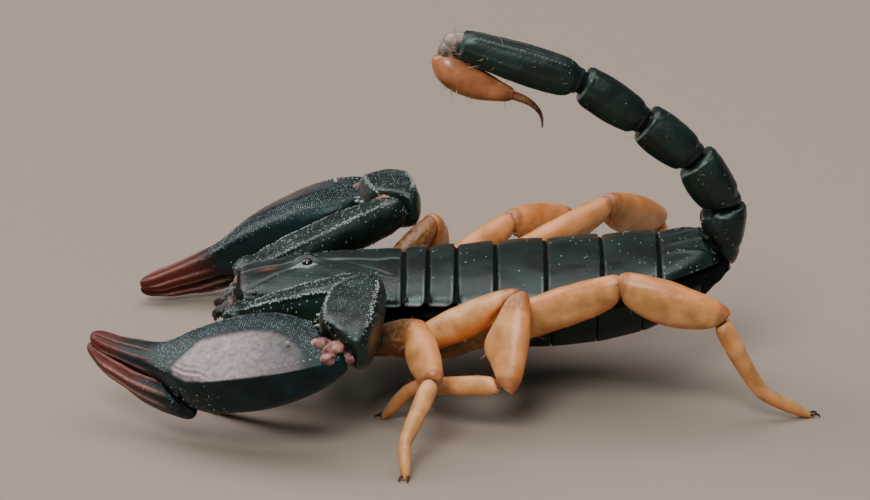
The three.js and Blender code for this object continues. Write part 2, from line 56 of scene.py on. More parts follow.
camera_data = bpy.data.cameras.new("camera")
camera_data.lens = LENS
camera_data.sensor_width = 36
camera_data.clip_start = 0.005
camera_data.clip_end = 20
camera = bpy.data.objects.new("camera", camera_data)
bpy.context.scene.collection.objects.link(camera)
toward_camera = Vector((0, -math.cos(CAMERA_ELEVATION), math.sin(CAMERA_ELEVATION)))
camera.location = LOOK_AT + toward_camera * CAMERA_DISTANCE
camera.rotation_euler = toward_camera.to_track_quat("Z", "Y").to_euler()
bpy.context.scene.camera = camera


# ---- Floor and light -----------------------------------------------------------------------
# A matt stone-grey studio floor under a broad soft sky straight above, which lays a sheen on
# the flanks.  A window behind on the left lights the hands' flat faces, a weaker one fills the
# front, and a weak overcast light reaches the whole floor.

FLOOR_SIZE = 40.0


def colour(code):
    """Linear colour of an sRGB hex code."""
    parts = [int(code[k : k + 2], 16) / 255 for k in (1, 3, 5)]
    line = [p / 12.92 if p <= 0.04045 else ((p + 0.055) / 1.055) ** 2.4 for p in parts]
    return (*line, 1.0)


def add(tree, kind, inputs=(), **settings):
    """Adds a shader node with its settings; an input given a socket is linked to it."""
    new = tree.nodes.new("ShaderNode" + kind)
    for name, value in settings.items():
        setattr(new, name, value)
    for name, value in dict(inputs).items():
        if isinstance(value, bpy.types.NodeSocket):
            tree.links.new(value, new.inputs[name])
        else:
            new.inputs[name].default_value = value
    return new


def new_material(name):
    """An empty material, its node tree and the place on the object in metres."""
    material = bpy.data.materials.new(name)
    material.use_nodes = True
    tree = material.node_tree
    tree.nodes.clear()
    return material, tree, add(tree, "TexCoord").outputs["Object"]


def shade(tree, **inputs):
    """Gives a material its Principled shader; an underscore in a name stands for a space."""
    named = {name.replace("_", " "): value for name, value in inputs.items()}
    shader = add(tree, "BsdfPrincipled", named)
    add(tree, "OutputMaterial", {"Surface": shader.outputs["BSDF"]})


def link(name, data):
    piece = bpy.data.objects.new(name, data)
    bpy.context.scene.collection.objects.link(piece)
    return piece


def mesh_from(bm, name):
    mesh = bpy.data.meshes.new(name)
    bm.to_mesh(mesh)
    bm.free()
    return mesh


floor_mesh = bmesh.new()
bmesh.ops.create_grid(floor_mesh, x_segments=1, y_segments=1, size=FLOOR_SIZE / 2)
floor = link("studio_floor", mesh_from(floor_mesh, "studio_floor"))
paper, tree, _ = new_material("matt studio paper")
shade(tree, Base_Color=colour("#867d70"), Roughness=0.95)
floor.data.materials.append(paper)


def soft_light(name, azimuth, elevation, distance, size, power, tint):
    """A round area light: angles in degrees, sizes in metres, power in watts."""
    data = bpy.data.lights.new(name, "AREA")
    data.shape = "DISK"
    data.size = size
    data.energy = power
    data.color = tint
    lamp = link(name, data)
    turn, level = math.radians(azimuth), math.cos(math.radians(elevation))
    height = math.sin(math.radians(elevation))
    away = Vector((math.sin(turn) * level, -math.cos(turn) * level, height))
    lamp.location = LOOK_AT + away * distance
    lamp.rotation_euler = away.to_track_quat("Z", "Y").to_euler()


soft_light("sky", 180, 84, 0.5, 0.6, 2.7, (1, 0.87, 0.9))
soft_light("left_window", -120, 36, 0.5, 0.36, 1.6, (1, 0.93, 0.94))
soft_light("front_fill", -12, 42, 0.6, 0.24, 3.5, (1, 0.93, 0.9))
overcast = bpy.data.lights.new("overcast", "SUN")
overcast.energy = 0.35
overcast.angle = math.radians(60)
link("overcast", overcast).rotation_euler = (math.radians(8), math.radians(10), 0)
world = bpy.data.worlds.new("studio")
world.use_nodes = True
world.node_tree.nodes["Background"].inputs["Color"].default_value = colour("#b9cbc8")
world.node_tree.nodes["Background"].inputs["Strength"].default_value = 0.16
bpy.context.scene.world = world


# ---- Back plates ---------------------------------------------------------------------------
# Seven plates of near-black horn roof the trunk over a lining of dark skin, which shows as a
# narrow groove between them.  They are fine copies of the imported plates, with rounded rear
# corners, a thin pale rim painted on as a highlight, shallow dents and sparse granules.

MIDLINE = sum(corner.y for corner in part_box("carapace")) / 2 / MM
SHELL_LEVELS = 3
WELD = 0.0002 * MM
SIDES = ((-1, "left"), (1, "right"))
chance = random.Random(7)


def box_of(node):
    """The lowest and highest corner of a CAD node, in millimetres."""
    return [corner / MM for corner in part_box(node)]


def merged(node):
    """A merged copy of a CAD node's loose triangles."""
    bm = bmesh.new()
    bm.from_mesh(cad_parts[node].data)
    bmesh.ops.remove_doubles(bm, verts=bm.verts, dist=WELD)
    return bm


def sharper_than(degrees, strength):
    """A crease for the edges that bend by more than an angle."""
    return lambda edge: strength * (edge.calc_face_angle(0) > math.radians(degrees))


def fine(bm, name, levels, crease=None):
    """Pairs triangles, rounds the mesh with an applied subdivision surface, and links it."""
    bmesh.ops.join_triangles(
        bm,
        faces=bm.faces,
        angle_face_threshold=math.radians(60),
        angle_shape_threshold=math.radians(70),
    )
    if crease:
        layer = bm.edges.layers.float.new("crease_edge")
        for edge in bm.edges:
            edge[layer] = crease(edge)
    piece = link(name, mesh_from(bm, name))
    rounding = piece.modifiers.new("rounding", "SUBSURF")
    rounding.levels = rounding.render_levels = levels
    graph = bpy.context.evaluated_depsgraph_get()
    mesh = bpy.data.meshes.new_from_object(piece.evaluated_get(graph))
    piece.modifiers.clear()
    piece.data = mesh
    mesh.name = name
    mesh.shade_smooth()
    return piece


def reshape(piece, move):
    """Moves every vertex by move(place, normal), in millimetres."""
    places = [(v.co / MM, v.normal.copy()) for v in piece.data.vertices]
    for vertex, (place, normal) in zip(piece.data.vertices, places):
        vertex.co = (place + move(place, normal)) * MM
    piece.data.update()


def sculpt(piece, lift):
    """Raises the surface by lift(place, normal) millimetres."""
    reshape(piece, lambda place, normal: normal * lift(place, normal))


def paint(piece, attribute, value):
    """Stores value(place, normal) on every vertex as a named attribute."""
    data = piece.data.attributes.new(attribute, "FLOAT", "POINT").data
    for vertex, entry in zip(piece.data.vertices, data):
        entry.value = value(vertex.co / MM, vertex.normal)


def rounded(bm, name):
    """Links a made-up shape as a smooth piece with its faces outward."""
    bmesh.ops.recalc_face_normals(bm, faces=bm.faces)
    piece = link(name, mesh_from(bm, name))
    piece.data.shade_smooth()
    return piece


def bump(distance, width):
    """A smooth bump of height one, centred on zero."""
    return math.exp(-((distance / width) ** 2))


def ramp(value, low, high):
    share = min(max((value - low) / (high - low), 0), 1)
    return share * share * (3 - 2 * share)


def rough(place, grain):
    """Smooth noise between about -1 and 1 with lumps of the given size."""
    return noise.noise(place / grain)


def settle(bm):
    """Puts faces in one fixed order, so that random picks among them repeat in each run."""
    across_all = Vector((1, 0.3719, 0.1137))
    bm.faces.sort(key=lambda face: face.calc_center_median().dot(across_all))


def bead_shape():
    """A small round granule; it is stamped hundreds of times, in the second material."""
    bm = bmesh.new()
    bmesh.ops.create_uvsphere(bm, u_segments=7, v_segments=5, radius=1)
    settle(bm)
    for face in bm.faces:
        face.material_index = 1
        face.smooth = True
    return mesh_from(bm, "granule")


BEAD = bead_shape()


def tree_of(piece):
    bm = bmesh.new()
    bm.from_mesh(piece.data)
    tree = BVHTree.FromBMesh(bm)
    bm.free()
    return tree


def stamp(piece, shape, matrices):
    """Joins many copies of a small shape to a piece."""
    bm = bmesh.new()
    bm.from_mesh(piece.data)
    for matrix in matrices:
        copy = shape.copy()
        copy.transform(matrix)
        bm.from_mesh(copy)
        bpy.data.meshes.remove(copy)
    bm.to_mesh(piece.data)
    bm.free()


def standing(place, normal, size, height=1.0):
    """Matrix that stands a small shape on a surface."""
    turn = normal.to_track_quat("Z", "Y").to_matrix().to_4x4()
    scale = Matrix.Diagonal((size * MM, size * MM, size * height * MM, 1))
    return Matrix.Translation(place) @ turn @ scale


def spots(piece, count, keep):
    """Random places and normals on the faces that keep(place, normal) allows."""
    polygons = piece.data.polygons
    weights = [face.area for face in polygons]
    found = []
    for pick in chance.choices(range(len(polygons)), weights, k=count * 14):
        face = polygons[pick]
        if len(found) < count and chance.random() < keep(face.center / MM, face.normal):
            found.append((face.center.copy(), face.normal.copy()))
    return found


def scattered(piece, count, sizes, keep):
    """Granule matrices at random places of a piece."""
    return [
        standing(place, normal, chance.uniform(*sizes), 0.7)
        for place, normal in spots(piece, count, keep)
    ]


def granule_row(tree, start, end, outward, spacing, size, wander=0.02):
    """Granules where rays from the line start-end, thrown outward, leave the surface."""
    count = max(2, round((end - start).length / spacing))
    found = []
    for k in range(count):
        share = (k + 0.5 + chance.uniform(-0.2, 0.2)) / count
        jitter = Vector([chance.uniform(-wander, wander) for _ in range(3)])
        origin = start.lerp(end, share)
        hit, normal, _, _ = tree.ray_cast(origin * MM, (outward + jitter).normalized())
        if hit:
            found.append(standing(hit, normal, size * chance.uniform(0.7, 1.25), 0.9))
    return found


def show(piece, slot, materials, *nodes):
    """Puts a finished piece on the body, in place of the CAD nodes it stands for."""
    for material in materials:
        piece.data.materials.append(material)
    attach(piece, "root")
    if nodes:
        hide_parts(*nodes)


def cloud(tree, at, size, detail=2.0):
    """A noise whose lumps are about size millimetres across."""
    noise_node = add(tree, "TexNoise", {"Vector": at, "Scale": 1 / (size * MM), "Detail": detail})
    return noise_node.outputs["Fac"]


def spread(tree, value, from_low, from_high, to_low, to_high):
    """Carries one range of a value over to another."""
    node = add(tree, "MapRange", {"Value": value, "From Min": from_low, "From Max": from_high})
    node.inputs["To Min"].default_value = to_low
    node.inputs["To Max"].default_value = to_high
    return node.outputs["Result"]


def two_tone(tree, value, dark, light, low=0.0, high=1.0):
    """Runs from one hex colour to another as a value goes from low to high."""
    node = add(tree, "ValToRGB", {"Fac": value})
    for stop, code, position in zip(node.color_ramp.elements, (dark, light), (low, high)):
        stop.color = colour(code)
        stop.position = position
    return node.outputs["Color"]


def embossed(tree, height, strength, depth):
    """A bump of the given depth in millimetres."""
    inputs = {"Height": height, "Strength": strength, "Distance": depth * MM}
    return add(tree, "Bump", inputs).outputs["Normal"]


def show_beaded(piece, slot, material, grains, *nodes):
    """Shows a piece of horn with granules stamped on it, painted pale as glints."""
    stamp(piece, BEAD, grains)
    show(piece, slot, [material, granule], *nodes)


def mix(tree, attribute, base, tint):
    """Blends a colour socket toward a hex colour by a painted attribute, in a fine mottle."""
    share = add(tree, "Attribute", attribute_name=attribute).outputs["Fac"]
    at = add(tree, "TexCoord").outputs["Object"]
    grain = spread(tree, cloud(tree, at, 0.16, 4.0), 0.3, 0.6, 0.55, 1.0)
    weight = add(tree, "Math", {0: share, 1: grain}, operation="MULTIPLY").outputs["Value"]
    blend = add(tree, "Mix", {0: weight, 6: base, 7: colour(tint)}, data_type="RGBA")
    return blend.outputs[2]


def horn(name, dark, dusty, gloss, grain, height, tints={}, **extra):
    """Horny cuticle: a waxy gloss over fine shagreen, dusty in places, with painted tints."""
    material, tree, at = new_material(name)
    clouds = cloud(tree, at, 1.1, 5.0)
    bloom = spread(tree, clouds, 0.42, 0.68, 0.0, 0.8)
    body = {0: bloom, 6: colour(dark), 7: colour(dusty)}
    tone = add(tree, "Mix", body, data_type="RGBA").outputs[2]
    for attribute, tint in tints.items():
        tone = mix(tree, attribute, tone, tint)
    cells = {"Vector": at, "Scale": 1 / (grain * MM), "Smoothness": 0.6}
    pits = add(tree, "TexVoronoi", cells, feature="SMOOTH_F1").outputs["Distance"]
    relief = {0: pits, 1: 0.7, 2: cloud(tree, at, 0.35, 6.0)}
    relief = add(tree, "Math", relief, operation="MULTIPLY_ADD").outputs["Value"]
    shade(
        tree,
        Base_Color=tone,
        Roughness=spread(tree, clouds, 0.3, 0.7, gloss - 0.06, gloss + 0.1),
        Normal=embossed(tree, relief, height, 0.03),
        **{"IOR": 1.52, "Specular_Tint": colour("#b4dcd2"), **extra},
    )
    return material


# Black scorpion horn: teal-black where it is bare, greyer where wax and dust lie on it.
# The pale tint carries painted highlights on the rims of plates and shield and beside the furrow,
# and paler horn at the eyes and tail rims.
SHELL_TINTS = {"pale": "#7d8b87", "rust": "#8a4028"}
WAX_COAT = {"Coat_Weight": 0.3, "Coat_Roughness": 0.42}
shell = horn("black cuticle", "#010906", "#05201a", 0.4, 0.1, 0.35, SHELL_TINTS, **WAX_COAT)
# Granule tips are painted almost white, as glints of light on the black shell.
granule = horn("pale granule tips", "#6d7a78", "#a3adab", 0.3, 0.06, 0.2)

# Skin between the plates: dull, dark and finely creased, so the grooves stay quiet.
leather, tree, at = new_material("dark leathery joint skin")
folds = add(tree, "Mapping", {"Vector": at, "Scale": (0.35, 1, 2.2)}).outputs["Vector"]
shade(
    tree,
    Base_Color=two_tone(tree, cloud(tree, at, 0.5, 6.0), "#020605", "#0a1412", 0.3, 0.75),
    Roughness=0.75,
    Specular_IOR_Level=0.1,
    Normal=embossed(tree, cloud(tree, folds, 0.2, 4.0), 0.6, 0.04),
)

PLATES = [f"tergite_{number}" for number in range(1, 8)]
# Radius of the rear corners, the height up to which a plate counts as flank, and the
# distances out from the middle of the keels on the last plate.
CORNER = 0.34
FLANK_HEIGHT = 1.1
LAST_KEELS = (0.55, 1.35)
for number, node in enumerate(PLATES, 1):
    low, high = box_of(node)
    is_last = node == PLATES[-1]
    plate = fine(merged(node), f"back_plate_{number}", SHELL_LEVELS, sharper_than(50, 0.6))

    def rear_edge(height):
        """How far back the plate reaches at a height above its lower edge."""
        drop = max(1 - height / CORNER, 0)
        return high.x - (0 if is_last else CORNER * (1 - math.sqrt(1 - drop * drop)))

    def round_corner(place, normal):
        setback = rear_edge(max(place.z - low.z, 0)) - high.x
        return Vector((setback * ramp(place.x, high.x - 0.8, high.x - 0.1), 0, 0))

    reshape(plate, round_corner)

    def rim(place, width):
        """One along the rear and lower edge of the flanks, a little in from the edge."""
        height = max(place.z - low.z, 0)
        edge = min(rear_edge(height) - place.x, height)
        return ramp(low.z + FLANK_HEIGHT - place.z, 0, 0.6) * bump(edge - 0.09, width)

    def plate_relief(place, normal):
        if normal.z < -0.3:
            return 0
        across = abs(place.y - MIDLINE)
        lip = 0.02 * rim(place, 0.05)
        dents = 0.03 * rough(place, 0.9) + 0.006 * rough(place, 0.25)
        middle = 0.02 * bump(across, 0.12) * ramp(number, 2, 6)
        front = -0.05 * ramp(low.x + 0.16 - place.x, 0, 0.16)
        keels = 0
        if is_last:
            ends = ramp(high.x - place.x, 0.25, 0.6) * ramp(place.x, low.x, low.x + 0.7)
            keels = 0.06 * sum(bump(across - keel, 0.1) for keel in LAST_KEELS) * ends
        return lip + dents + middle + front + keels

    sculpt(plate, plate_relief)

    # Painted highlight: a thin pale line along the rim of the flanks, on all but the last plate.
    rim_tone = 0 if is_last else 0.7
    paint(plate, "pale", lambda p, n: rim_tone * (n.z >= -0.3) * rim(p, 0.035))
    grains = scattered(
        plate,
        16 + 16 * max(0, number - 4),
        (0.016, 0.036),
        lambda p, n: (n.z > 0.05) * (0.2 + abs(p.y - MIDLINE) / 4),
    )
    if is_last:
        tree = tree_of(plate)
        for out in sorted([-keel for keel in LAST_KEELS] + list(LAST_KEELS)):
            start = Vector((low.x + 0.5, MIDLINE + out * 1.1, low.z))
            end = Vector((high.x - 0.35, MIDLINE + out * 0.72, low.z))
            grains += granule_row(tree, start, end, Vector((0, 0, 1)), 0.14, 0.04)
    show_beaded(plate, "shell", shell, grains, node)


# The lining lies a little inside the plates and runs on under the next one.
LINING_DEPTH = 0.16
LINING_OVERLAP = 0.5
lining = bmesh.new()
for node in ["carapace"] + PLATES:
    low, high = box_of(node)
    under = merged(node)
    under.normal_update()
    middle = (low.x + high.x) / 2
    stretch = 1 + LINING_OVERLAP / (high.x - low.x)
    for vert in under.verts:
        vert.co -= vert.normal * LINING_DEPTH * MM
        vert.co.x = (middle + (vert.co.x / MM - middle) * stretch) * MM
    under = mesh_from(under, "under")
    lining.from_mesh(under)
    bpy.data.meshes.remove(under)

lining = fine(lining, "back_lining", 2, sharper_than(40, 1.0))
show(lining, "underside", [leather])


# ---- Head shield ---------------------------------------------------------------------------
# One plate of black horn covers the head and the leg bases.  A furrow runs down its middle to
# a low mound, which stands up between the two middle eyes, and slants out behind them.

head_low, head_high = box_of("carapace")
EYE_MOUND_X = sum(corner.x for corner in box_of("median_eye_left")) / 2
EYE_SPREAD = 0.5
shield = fine(merged("carapace"), "head_shield", 4, sharper_than(50, 0.6))


def eyelid(place):
    """One over the paler almond round each middle eye, and zero away from it."""
    along = place.x - EYE_MOUND_X
    width = 0.3 * (1 - abs(along) / (0.72 if along < 0 else 0.46))
    return ramp(width - abs(abs(place.y - MIDLINE) - EYE_SPREAD - 0.03), 0, 0.07)


def shield_relief(place, normal):
    if normal.z < -0.2:
        return 0
    across = abs(place.y - MIDLINE)
    front = place.x - head_low.x
    back = head_high.x - place.x
    from_eyes = place.x - EYE_MOUND_X
    mound = 0.14 * bump(from_eyes, 0.6) * bump(across, 0.6) + 0.03 * eyelid(place)
    saddle = 0.17 * bump(from_eyes, 0.55) * bump(across, 0.2)
    furrow = -0.07 * bump(across, 0.07) * ramp(abs(from_eyes + 0.1), 0.3, 0.6)
    notch = -0.03 * bump(across, 0.04) * bump(from_eyes, 0.5)
    hollow = -0.09 * bump(back - 1.0, 0.5) * bump(across, 0.35)
    slant = -0.035 * bump(across - 0.5 - 0.75 * (1.9 - back), 0.09) * ramp(back, 0.25, 0.6)
    slant *= ramp(2.2 - back, 0, 0.3)
    brow = -0.05 * bump(across - 0.45 + 0.55 * (from_eyes + 0.3), 0.1)
    brow *= ramp(-from_eyes, 0.2, 0.6) * ramp(front, 0.2, 0.5)
    rim = 0.012 * bump(back - 0.08, 0.05)
    side_groove = -0.03 * bump(place.z - head_low.z - 0.32, 0.08)
    lumps = 0.03 * rough(place, 0.7) + 0.008 * rough(place, 0.2)
    return mound + saddle + furrow + notch + hollow + slant + brow + rim + side_groove + lumps


sculpt(shield, shield_relief)
# Painted highlights: a thin pale line along the lower rear rim, and two faint pale lines beside
# the furrow behind the eyes.  The almond round each middle eye is painted paler too.
paint(
    shield,
    "pale",
    lambda p, n: (n.z > 0)
    * max(
        0.3 * bump(head_high.x - p.x - 0.08, 0.035) * ramp(head_low.z + 1.3 - p.z, 0, 0.8),
        0.9 * eyelid(p),
        0.3 * bump(abs(p.y - MIDLINE) - 0.1, 0.05) * bump(p.x - EYE_MOUND_X - 1.1, 0.4),
    ),
)
# The front of the shield is thinner, and reddish brown shows through beside the furrow.
paint(
    shield,
    "rust",
    lambda p, n: 0.85 * bump(p.x - EYE_MOUND_X + 1.5, 0.38) * bump(p.y - MIDLINE + 0.3, 0.11)
    + 0.15 * bump(p.x - head_low.x, 0.15) * (n.z > -0.3),
)
toward_sides = lambda p, n: (n.z > 0.1) * ramp(abs(p.y - MIDLINE), 0.5, 2.4)
grains = scattered(shield, 200, (0.014, 0.032), toward_sides)
show_beaded(shield, "shell", shell, grains, "carapace")


# ---- Eyes ----------------------------------------------------------------------------------
# Two round middle eyes sit back to back on the mound, half sunk in it, each in a low collar
# of horn.  Two much smaller pairs look out from the front corners of the shield.

LENS_RADIUS = 0.22
LENS_DEPTH = 0.1
# Each small side eye as its distance behind the front of the shield, and its radius.
SIDE_EYES = [(0.62, 0.1), (0.88, 0.08)]

polish, tree, at = new_material("polished black eye lens")
shade(
    tree,
    Base_Color=two_tone(tree, cloud(tree, at, 0.2), "#030405", "#0d0f11"),
    Roughness=0.07,
    IOR=1.5,
    Coat_Weight=0.3,
    Coat_Roughness=0.03,
)
# The collar is the shield's own horn, a little paler.
collar_horn = horn("paler grey collar cuticle", "#0a1010", "#222d2c", 0.5, 0.08, 0.3)


def lens_and_collar(bm, place, looking, radius):
    """A ball in a low ring; the ball's faces take the first material, the ring's the second."""
    turn = looking.to_track_quat("Z", "Y").to_matrix().to_4x4()
    seat = Matrix.Translation(place * MM) @ turn
    bmesh.ops.create_uvsphere(bm, u_segments=32, v_segments=20, radius=radius * MM, matrix=seat)
    ring = bmesh.ops.create_circle(bm, segments=10, radius=radius * 0.12 * MM)["verts"]
    sideways = Matrix.Rotation(math.pi / 2, 4, "X")
    offset = Matrix.Translation((radius * MM, 0, -0.1 * radius * MM))
    bmesh.ops.transform(bm, matrix=seat @ offset @ sideways, verts=ring)
    edges = list({edge for vert in ring for edge in vert.link_edges})
    before = set(bm.faces)
    full_turn = {"angle": math.tau, "steps": 32, "use_merge": True}
    bmesh.ops.spin(bm, geom=ring + edges, cent=place * MM, axis=looking, **full_turn)
    for face in set(bm.faces) - before:
        face.material_index = 1


shield_tree = tree_of(shield)
for side, name in SIDES:
    above = Vector((EYE_MOUND_X, MIDLINE + side * EYE_SPREAD, head_high.z + 2))
    hit, normal, _, _ = shield_tree.ray_cast(above * MM, Vector((0, 0, -1)))
    looking = Vector((-0.05, side * 0.8, 0.55)).normalized()
    bm = bmesh.new()
    lens_and_collar(bm, hit / MM - looking * LENS_DEPTH, looking, LENS_RADIUS)
    eye = rounded(bm, f"middle_eye_{name}")
    show(eye, "eye", [polish, collar_horn], f"median_eye_{name}")

    bm = bmesh.new()
    for behind, radius in SIDE_EYES:
        start = Vector((head_low.x + behind, MIDLINE + side * 4, head_low.z + 0.42))
        hit, normal, _, _ = shield_tree.ray_cast(start * MM, Vector((0, -side, 0)))
        lens_and_collar(bm, hit / MM - normal * radius * 0.3, normal, radius)
    show(rounded(bm, f"side_eyes_{name}"), "eye", [polish, collar_horn])


# ---- Belly and belly plates ----------------------------------------------------------------
# The same dark skin falls in lengthwise pleats along the flanks, and five smooth plates of
# brown horn cover it below.

# Where the plates meet along the body, the gap left at each end, how high their sides reach
# and how thick they are.
BELLY_PLATE_EDGES = [0.28, 2.08, 3.68, 5.38, 7.08, 9.28]
BELLY_PLATE_GAP = 0.02
BELLY_PLATE_TOP = box_of("belly")[0].z + 1.1
BELLY_PLATE_THICKNESS = 0.06
skin = fine(merged("belly"), "belly_skin", SHELL_LEVELS)


def pleat_relief(place, normal):
    flank = 1 - abs(normal.z)
    pleat = math.sin((place.z + 0.12 * rough(place, 1.2)) * math.tau / 0.42)
    return flank * (0.05 * pleat + 0.05 * rough(place, 0.9))


sculpt(skin, pleat_relief)
show(skin, "underside", [leather], "belly")

brown_horn = horn("brown belly cuticle", "#050806", "#0f1310", 0.42, 0.14, 0.25)
for number, (start, end) in enumerate(zip(BELLY_PLATE_EDGES, BELLY_PLATE_EDGES[1:]), 3):
    bm = merged("belly")
    cuts = [
        ((start + BELLY_PLATE_GAP, 0, 0), (-1, 0, 0)),
        ((end - BELLY_PLATE_GAP, 0, 0), (1, 0, 0)),
        ((0.3, 0, BELLY_PLATE_TOP), (-0.16, 0, 1)),
    ]
    for place, away in cuts:
        plane = {"plane_co": Vector(place) * MM, "plane_no": Vector(away), "dist": WELD}
        everything = list(bm.verts) + list(bm.edges) + list(bm.faces)
        bmesh.ops.bisect_plane(bm, geom=everything, clear_outer=True, **plane)
    bmesh.ops.solidify(bm, geom=list(bm.faces), thickness=-BELLY_PLATE_THICKNESS * MM)
    bmesh.ops.recalc_face_normals(bm, faces=bm.faces)
    plate = fine(bm, f"belly_plate_{number}", 2, sharper_than(60, 0.5))
    sculpt(plate, lambda p, n: 0.012 * rough(p, 0.5))
    show(plate, "underside", [brown_horn])


# ---- Leg bases and combs -------------------------------------------------------------------
# Under the head shield the first segments of the eight legs lie side by side.  Behind them
# hang the two short combs with which a scorpion feels the ground.

# Each base as [front, rear, distance out], from the front of the head shield.
BASE_SPOTS = [(2.25, 3.25, 2.35), (3.55, 4.6, 2.5), (4.75, 5.95, 2.6), (5.85, 7.25, 2.7)]
COMB_TEETH = 8

chest = fine(merged("coxae"), "chest_skin", SHELL_LEVELS)
sculpt(chest, lambda p, n: -0.12 + 0.04 * rough(p, 0.7))
show(chest, "underside", [leather], "coxae")

# Leg bases are browner and duller than the legs that spring from them.
amber_dark = horn("brown amber cuticle", "#2c180d", "#4a2c1a", 0.42, 0.12, 0.3)


def pod(bm, start, end, wide, high, segments=18):
    """A rounded pod from one point to another, in millimetres."""
    along = end - start
    turn = along.to_track_quat("Z", "Y").to_matrix().to_4x4()
    size = Matrix.Diagonal((wide / 2 * MM, high / 2 * MM, along.length / 2 * MM, 1))
    seat = Matrix.Translation((start + end) / 2 * MM) @ turn @ size
    bmesh.ops.create_uvsphere(
        bm, u_segments=segments, v_segments=segments // 2, radius=1, matrix=seat
    )


bm = bmesh.new()
for side in (-1, 1):
    for inner, outer, out in BASE_SPOTS:
        start = Vector((head_low.x + inner + 0.3, MIDLINE + side * 0.35, 2.15))
        end = Vector((head_low.x + outer, MIDLINE + side * (out + 0.35), 2.5))
        pod(bm, start, end, 1.25, 1.1)
bases = rounded(bm, "leg_bases")
sculpt(bases, lambda p, n: 0.03 * rough(p, 0.5))
show(bases, "leg", [amber_dark])

bm = bmesh.new()
for side in (-1, 1):
    start = Vector((head_low.x + 6.6, MIDLINE + side * 0.35, 1.95))
    end = Vector((head_low.x + 7.95, MIDLINE + side * 2.0, 1.75))
    pod(bm, start, end, 0.4, 0.3, 12)
    for k in range(COMB_TEETH):
        root = start.lerp(end, (k + 0.9) / (COMB_TEETH + 0.6))
        tip = root + Vector((0.52, -0.22 * side, -0.08))
        pod(bm, root, tip, 0.15, 0.17, 8)
# Comb teeth are the palest horn on the animal.
pale_horn = horn("pale amber cuticle", "#a8703c", "#b98350", 0.42, 0.1, 0.2)
show(rounded(bm, "sensory_combs"), "leg", [pale_horn])


# ---- Jaws ----------------------------------------------------------------------------------
# Two short brown jaws stick out under the front of the shield.  Each is a round block with a
# fixed and a moving finger, both hooked and toothed.

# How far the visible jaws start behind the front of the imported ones.
JAW_SETBACK = 0.45
# Jaw horn is mottled brown and pinkish, and glossy on top.
jaw_horn = horn("mottled brown jaw cuticle", "#0c0a09", "#5d443d", 0.38, 0.12, 0.3)


def horn_tube(bm, points, radii, sides=10):
    """A closed tapering tube: circles set square to a line of points and bridged in turn."""
    rims = []
    turn = None
    for k, (point, radius) in enumerate(zip(points, radii)):
        ahead = points[min(k + 1, len(points) - 1)] - points[max(k - 1, 0)]
        if turn is None:
            turn = ahead.to_track_quat("Z", "Y")
        else:
            turn = (turn @ Vector((0, 0, 1))).rotation_difference(ahead) @ turn
        circle = bmesh.ops.create_circle(
            bm,
            cap_ends=k in (0, len(points) - 1),
            segments=sides,
            radius=radius * MM,
            matrix=Matrix.Translation(point * MM) @ turn.to_matrix().to_4x4(),
        )["verts"]
        rims.append(list({edge for vert in circle for edge in vert.link_edges}))
    for rim, following in zip(rims, rims[1:]):
        bmesh.ops.bridge_loops(bm, edges=rim + following)


for side, name in SIDES:
    node = f"chelicera_{name}"
    low, high = box_of(node)
    middle = (low + high) / 2
    block = fine(merged(node), f"jaw_{name}", SHELL_LEVELS)
    reshape(block, lambda p, n: Vector((JAW_SETBACK * ramp(high.x - p.x, 0, 1), 0, 0)))
    sculpt(block, lambda p, n: 0.02 * rough(p, 0.35))
    grains = scattered(block, 40, (0.016, 0.03), lambda p, n: n.z > 0.2)
    show_beaded(block, "jaw", jaw_horn, grains, node)

    bm = bmesh.new()
    root = Vector((low.x + 0.3 + JAW_SETBACK, middle.y, middle.z))
    for inward, reach, drop in ((0.12, 0.5, 0.28), (-0.14, 0.44, 0.36)):
        points = [
            root + Vector((0, -side * inward, -0.05)),
            root + Vector((-reach * 0.5, -side * inward * 1.2, -drop * 0.4)),
            root + Vector((-reach * 0.9, -side * inward * 0.9, -drop * 0.9)),
            root + Vector((-reach, -side * inward * 0.3, -drop * 1.4)),
        ]
        horn_tube(bm, points, [0.17, 0.14, 0.08, 0.02])
        for share in (0.45, 0.65, 0.85):
            foot = points[0].lerp(points[3], share)
            horn_tube(bm, [foot, foot + Vector((0, side * inward * 0.6, -0.14))], [0.05, 0.012], 6)
    show(rounded(bm, f"jaw_fingers_{name}"), "jaw", [jaw_horn])


# ---- Tail ----------------------------------------------------------------------------------
# Five ring segments of black horn.  Each has a furrow along its upper side between two
# finely toothed keels, blunter keels below, and a thin pale rim where the next one joins.

# Angles of the keels from the middle of the upper side.
DORSAL_KEEL = 0.62
SIDE_KEEL = 1.4
BELLY_KEEL = 2.4


def end_points(node):
    """The centres of a limb solid's two ends: the vertices where most edges meet."""
    bm = merged(node)
    ranked = sorted(bm.verts, key=lambda vert: -len(vert.link_edges))
    ends = [vert.co / MM for vert in ranked[:2]]
    bm.free()
    return ends


def in_order(node, near):
    """A limb's two end points, the one nearer to a place first."""
    return sorted(end_points(node), key=lambda point: (point - near).length)


def limb_axes(start, end, upward):
    """A function for the share along a limb and the angle round it; and the limb's axes."""
    along = (end - start).normalized()
    up = (upward - along * upward.dot(along)).normalized()
    aside = along.cross(up)
    length = (end - start).length

    def measure(place):
        offset = place - start
        angle = math.atan2(abs(offset.dot(aside)), offset.dot(up))
        return offset.dot(along) / length, angle

    return measure, along, up, aside


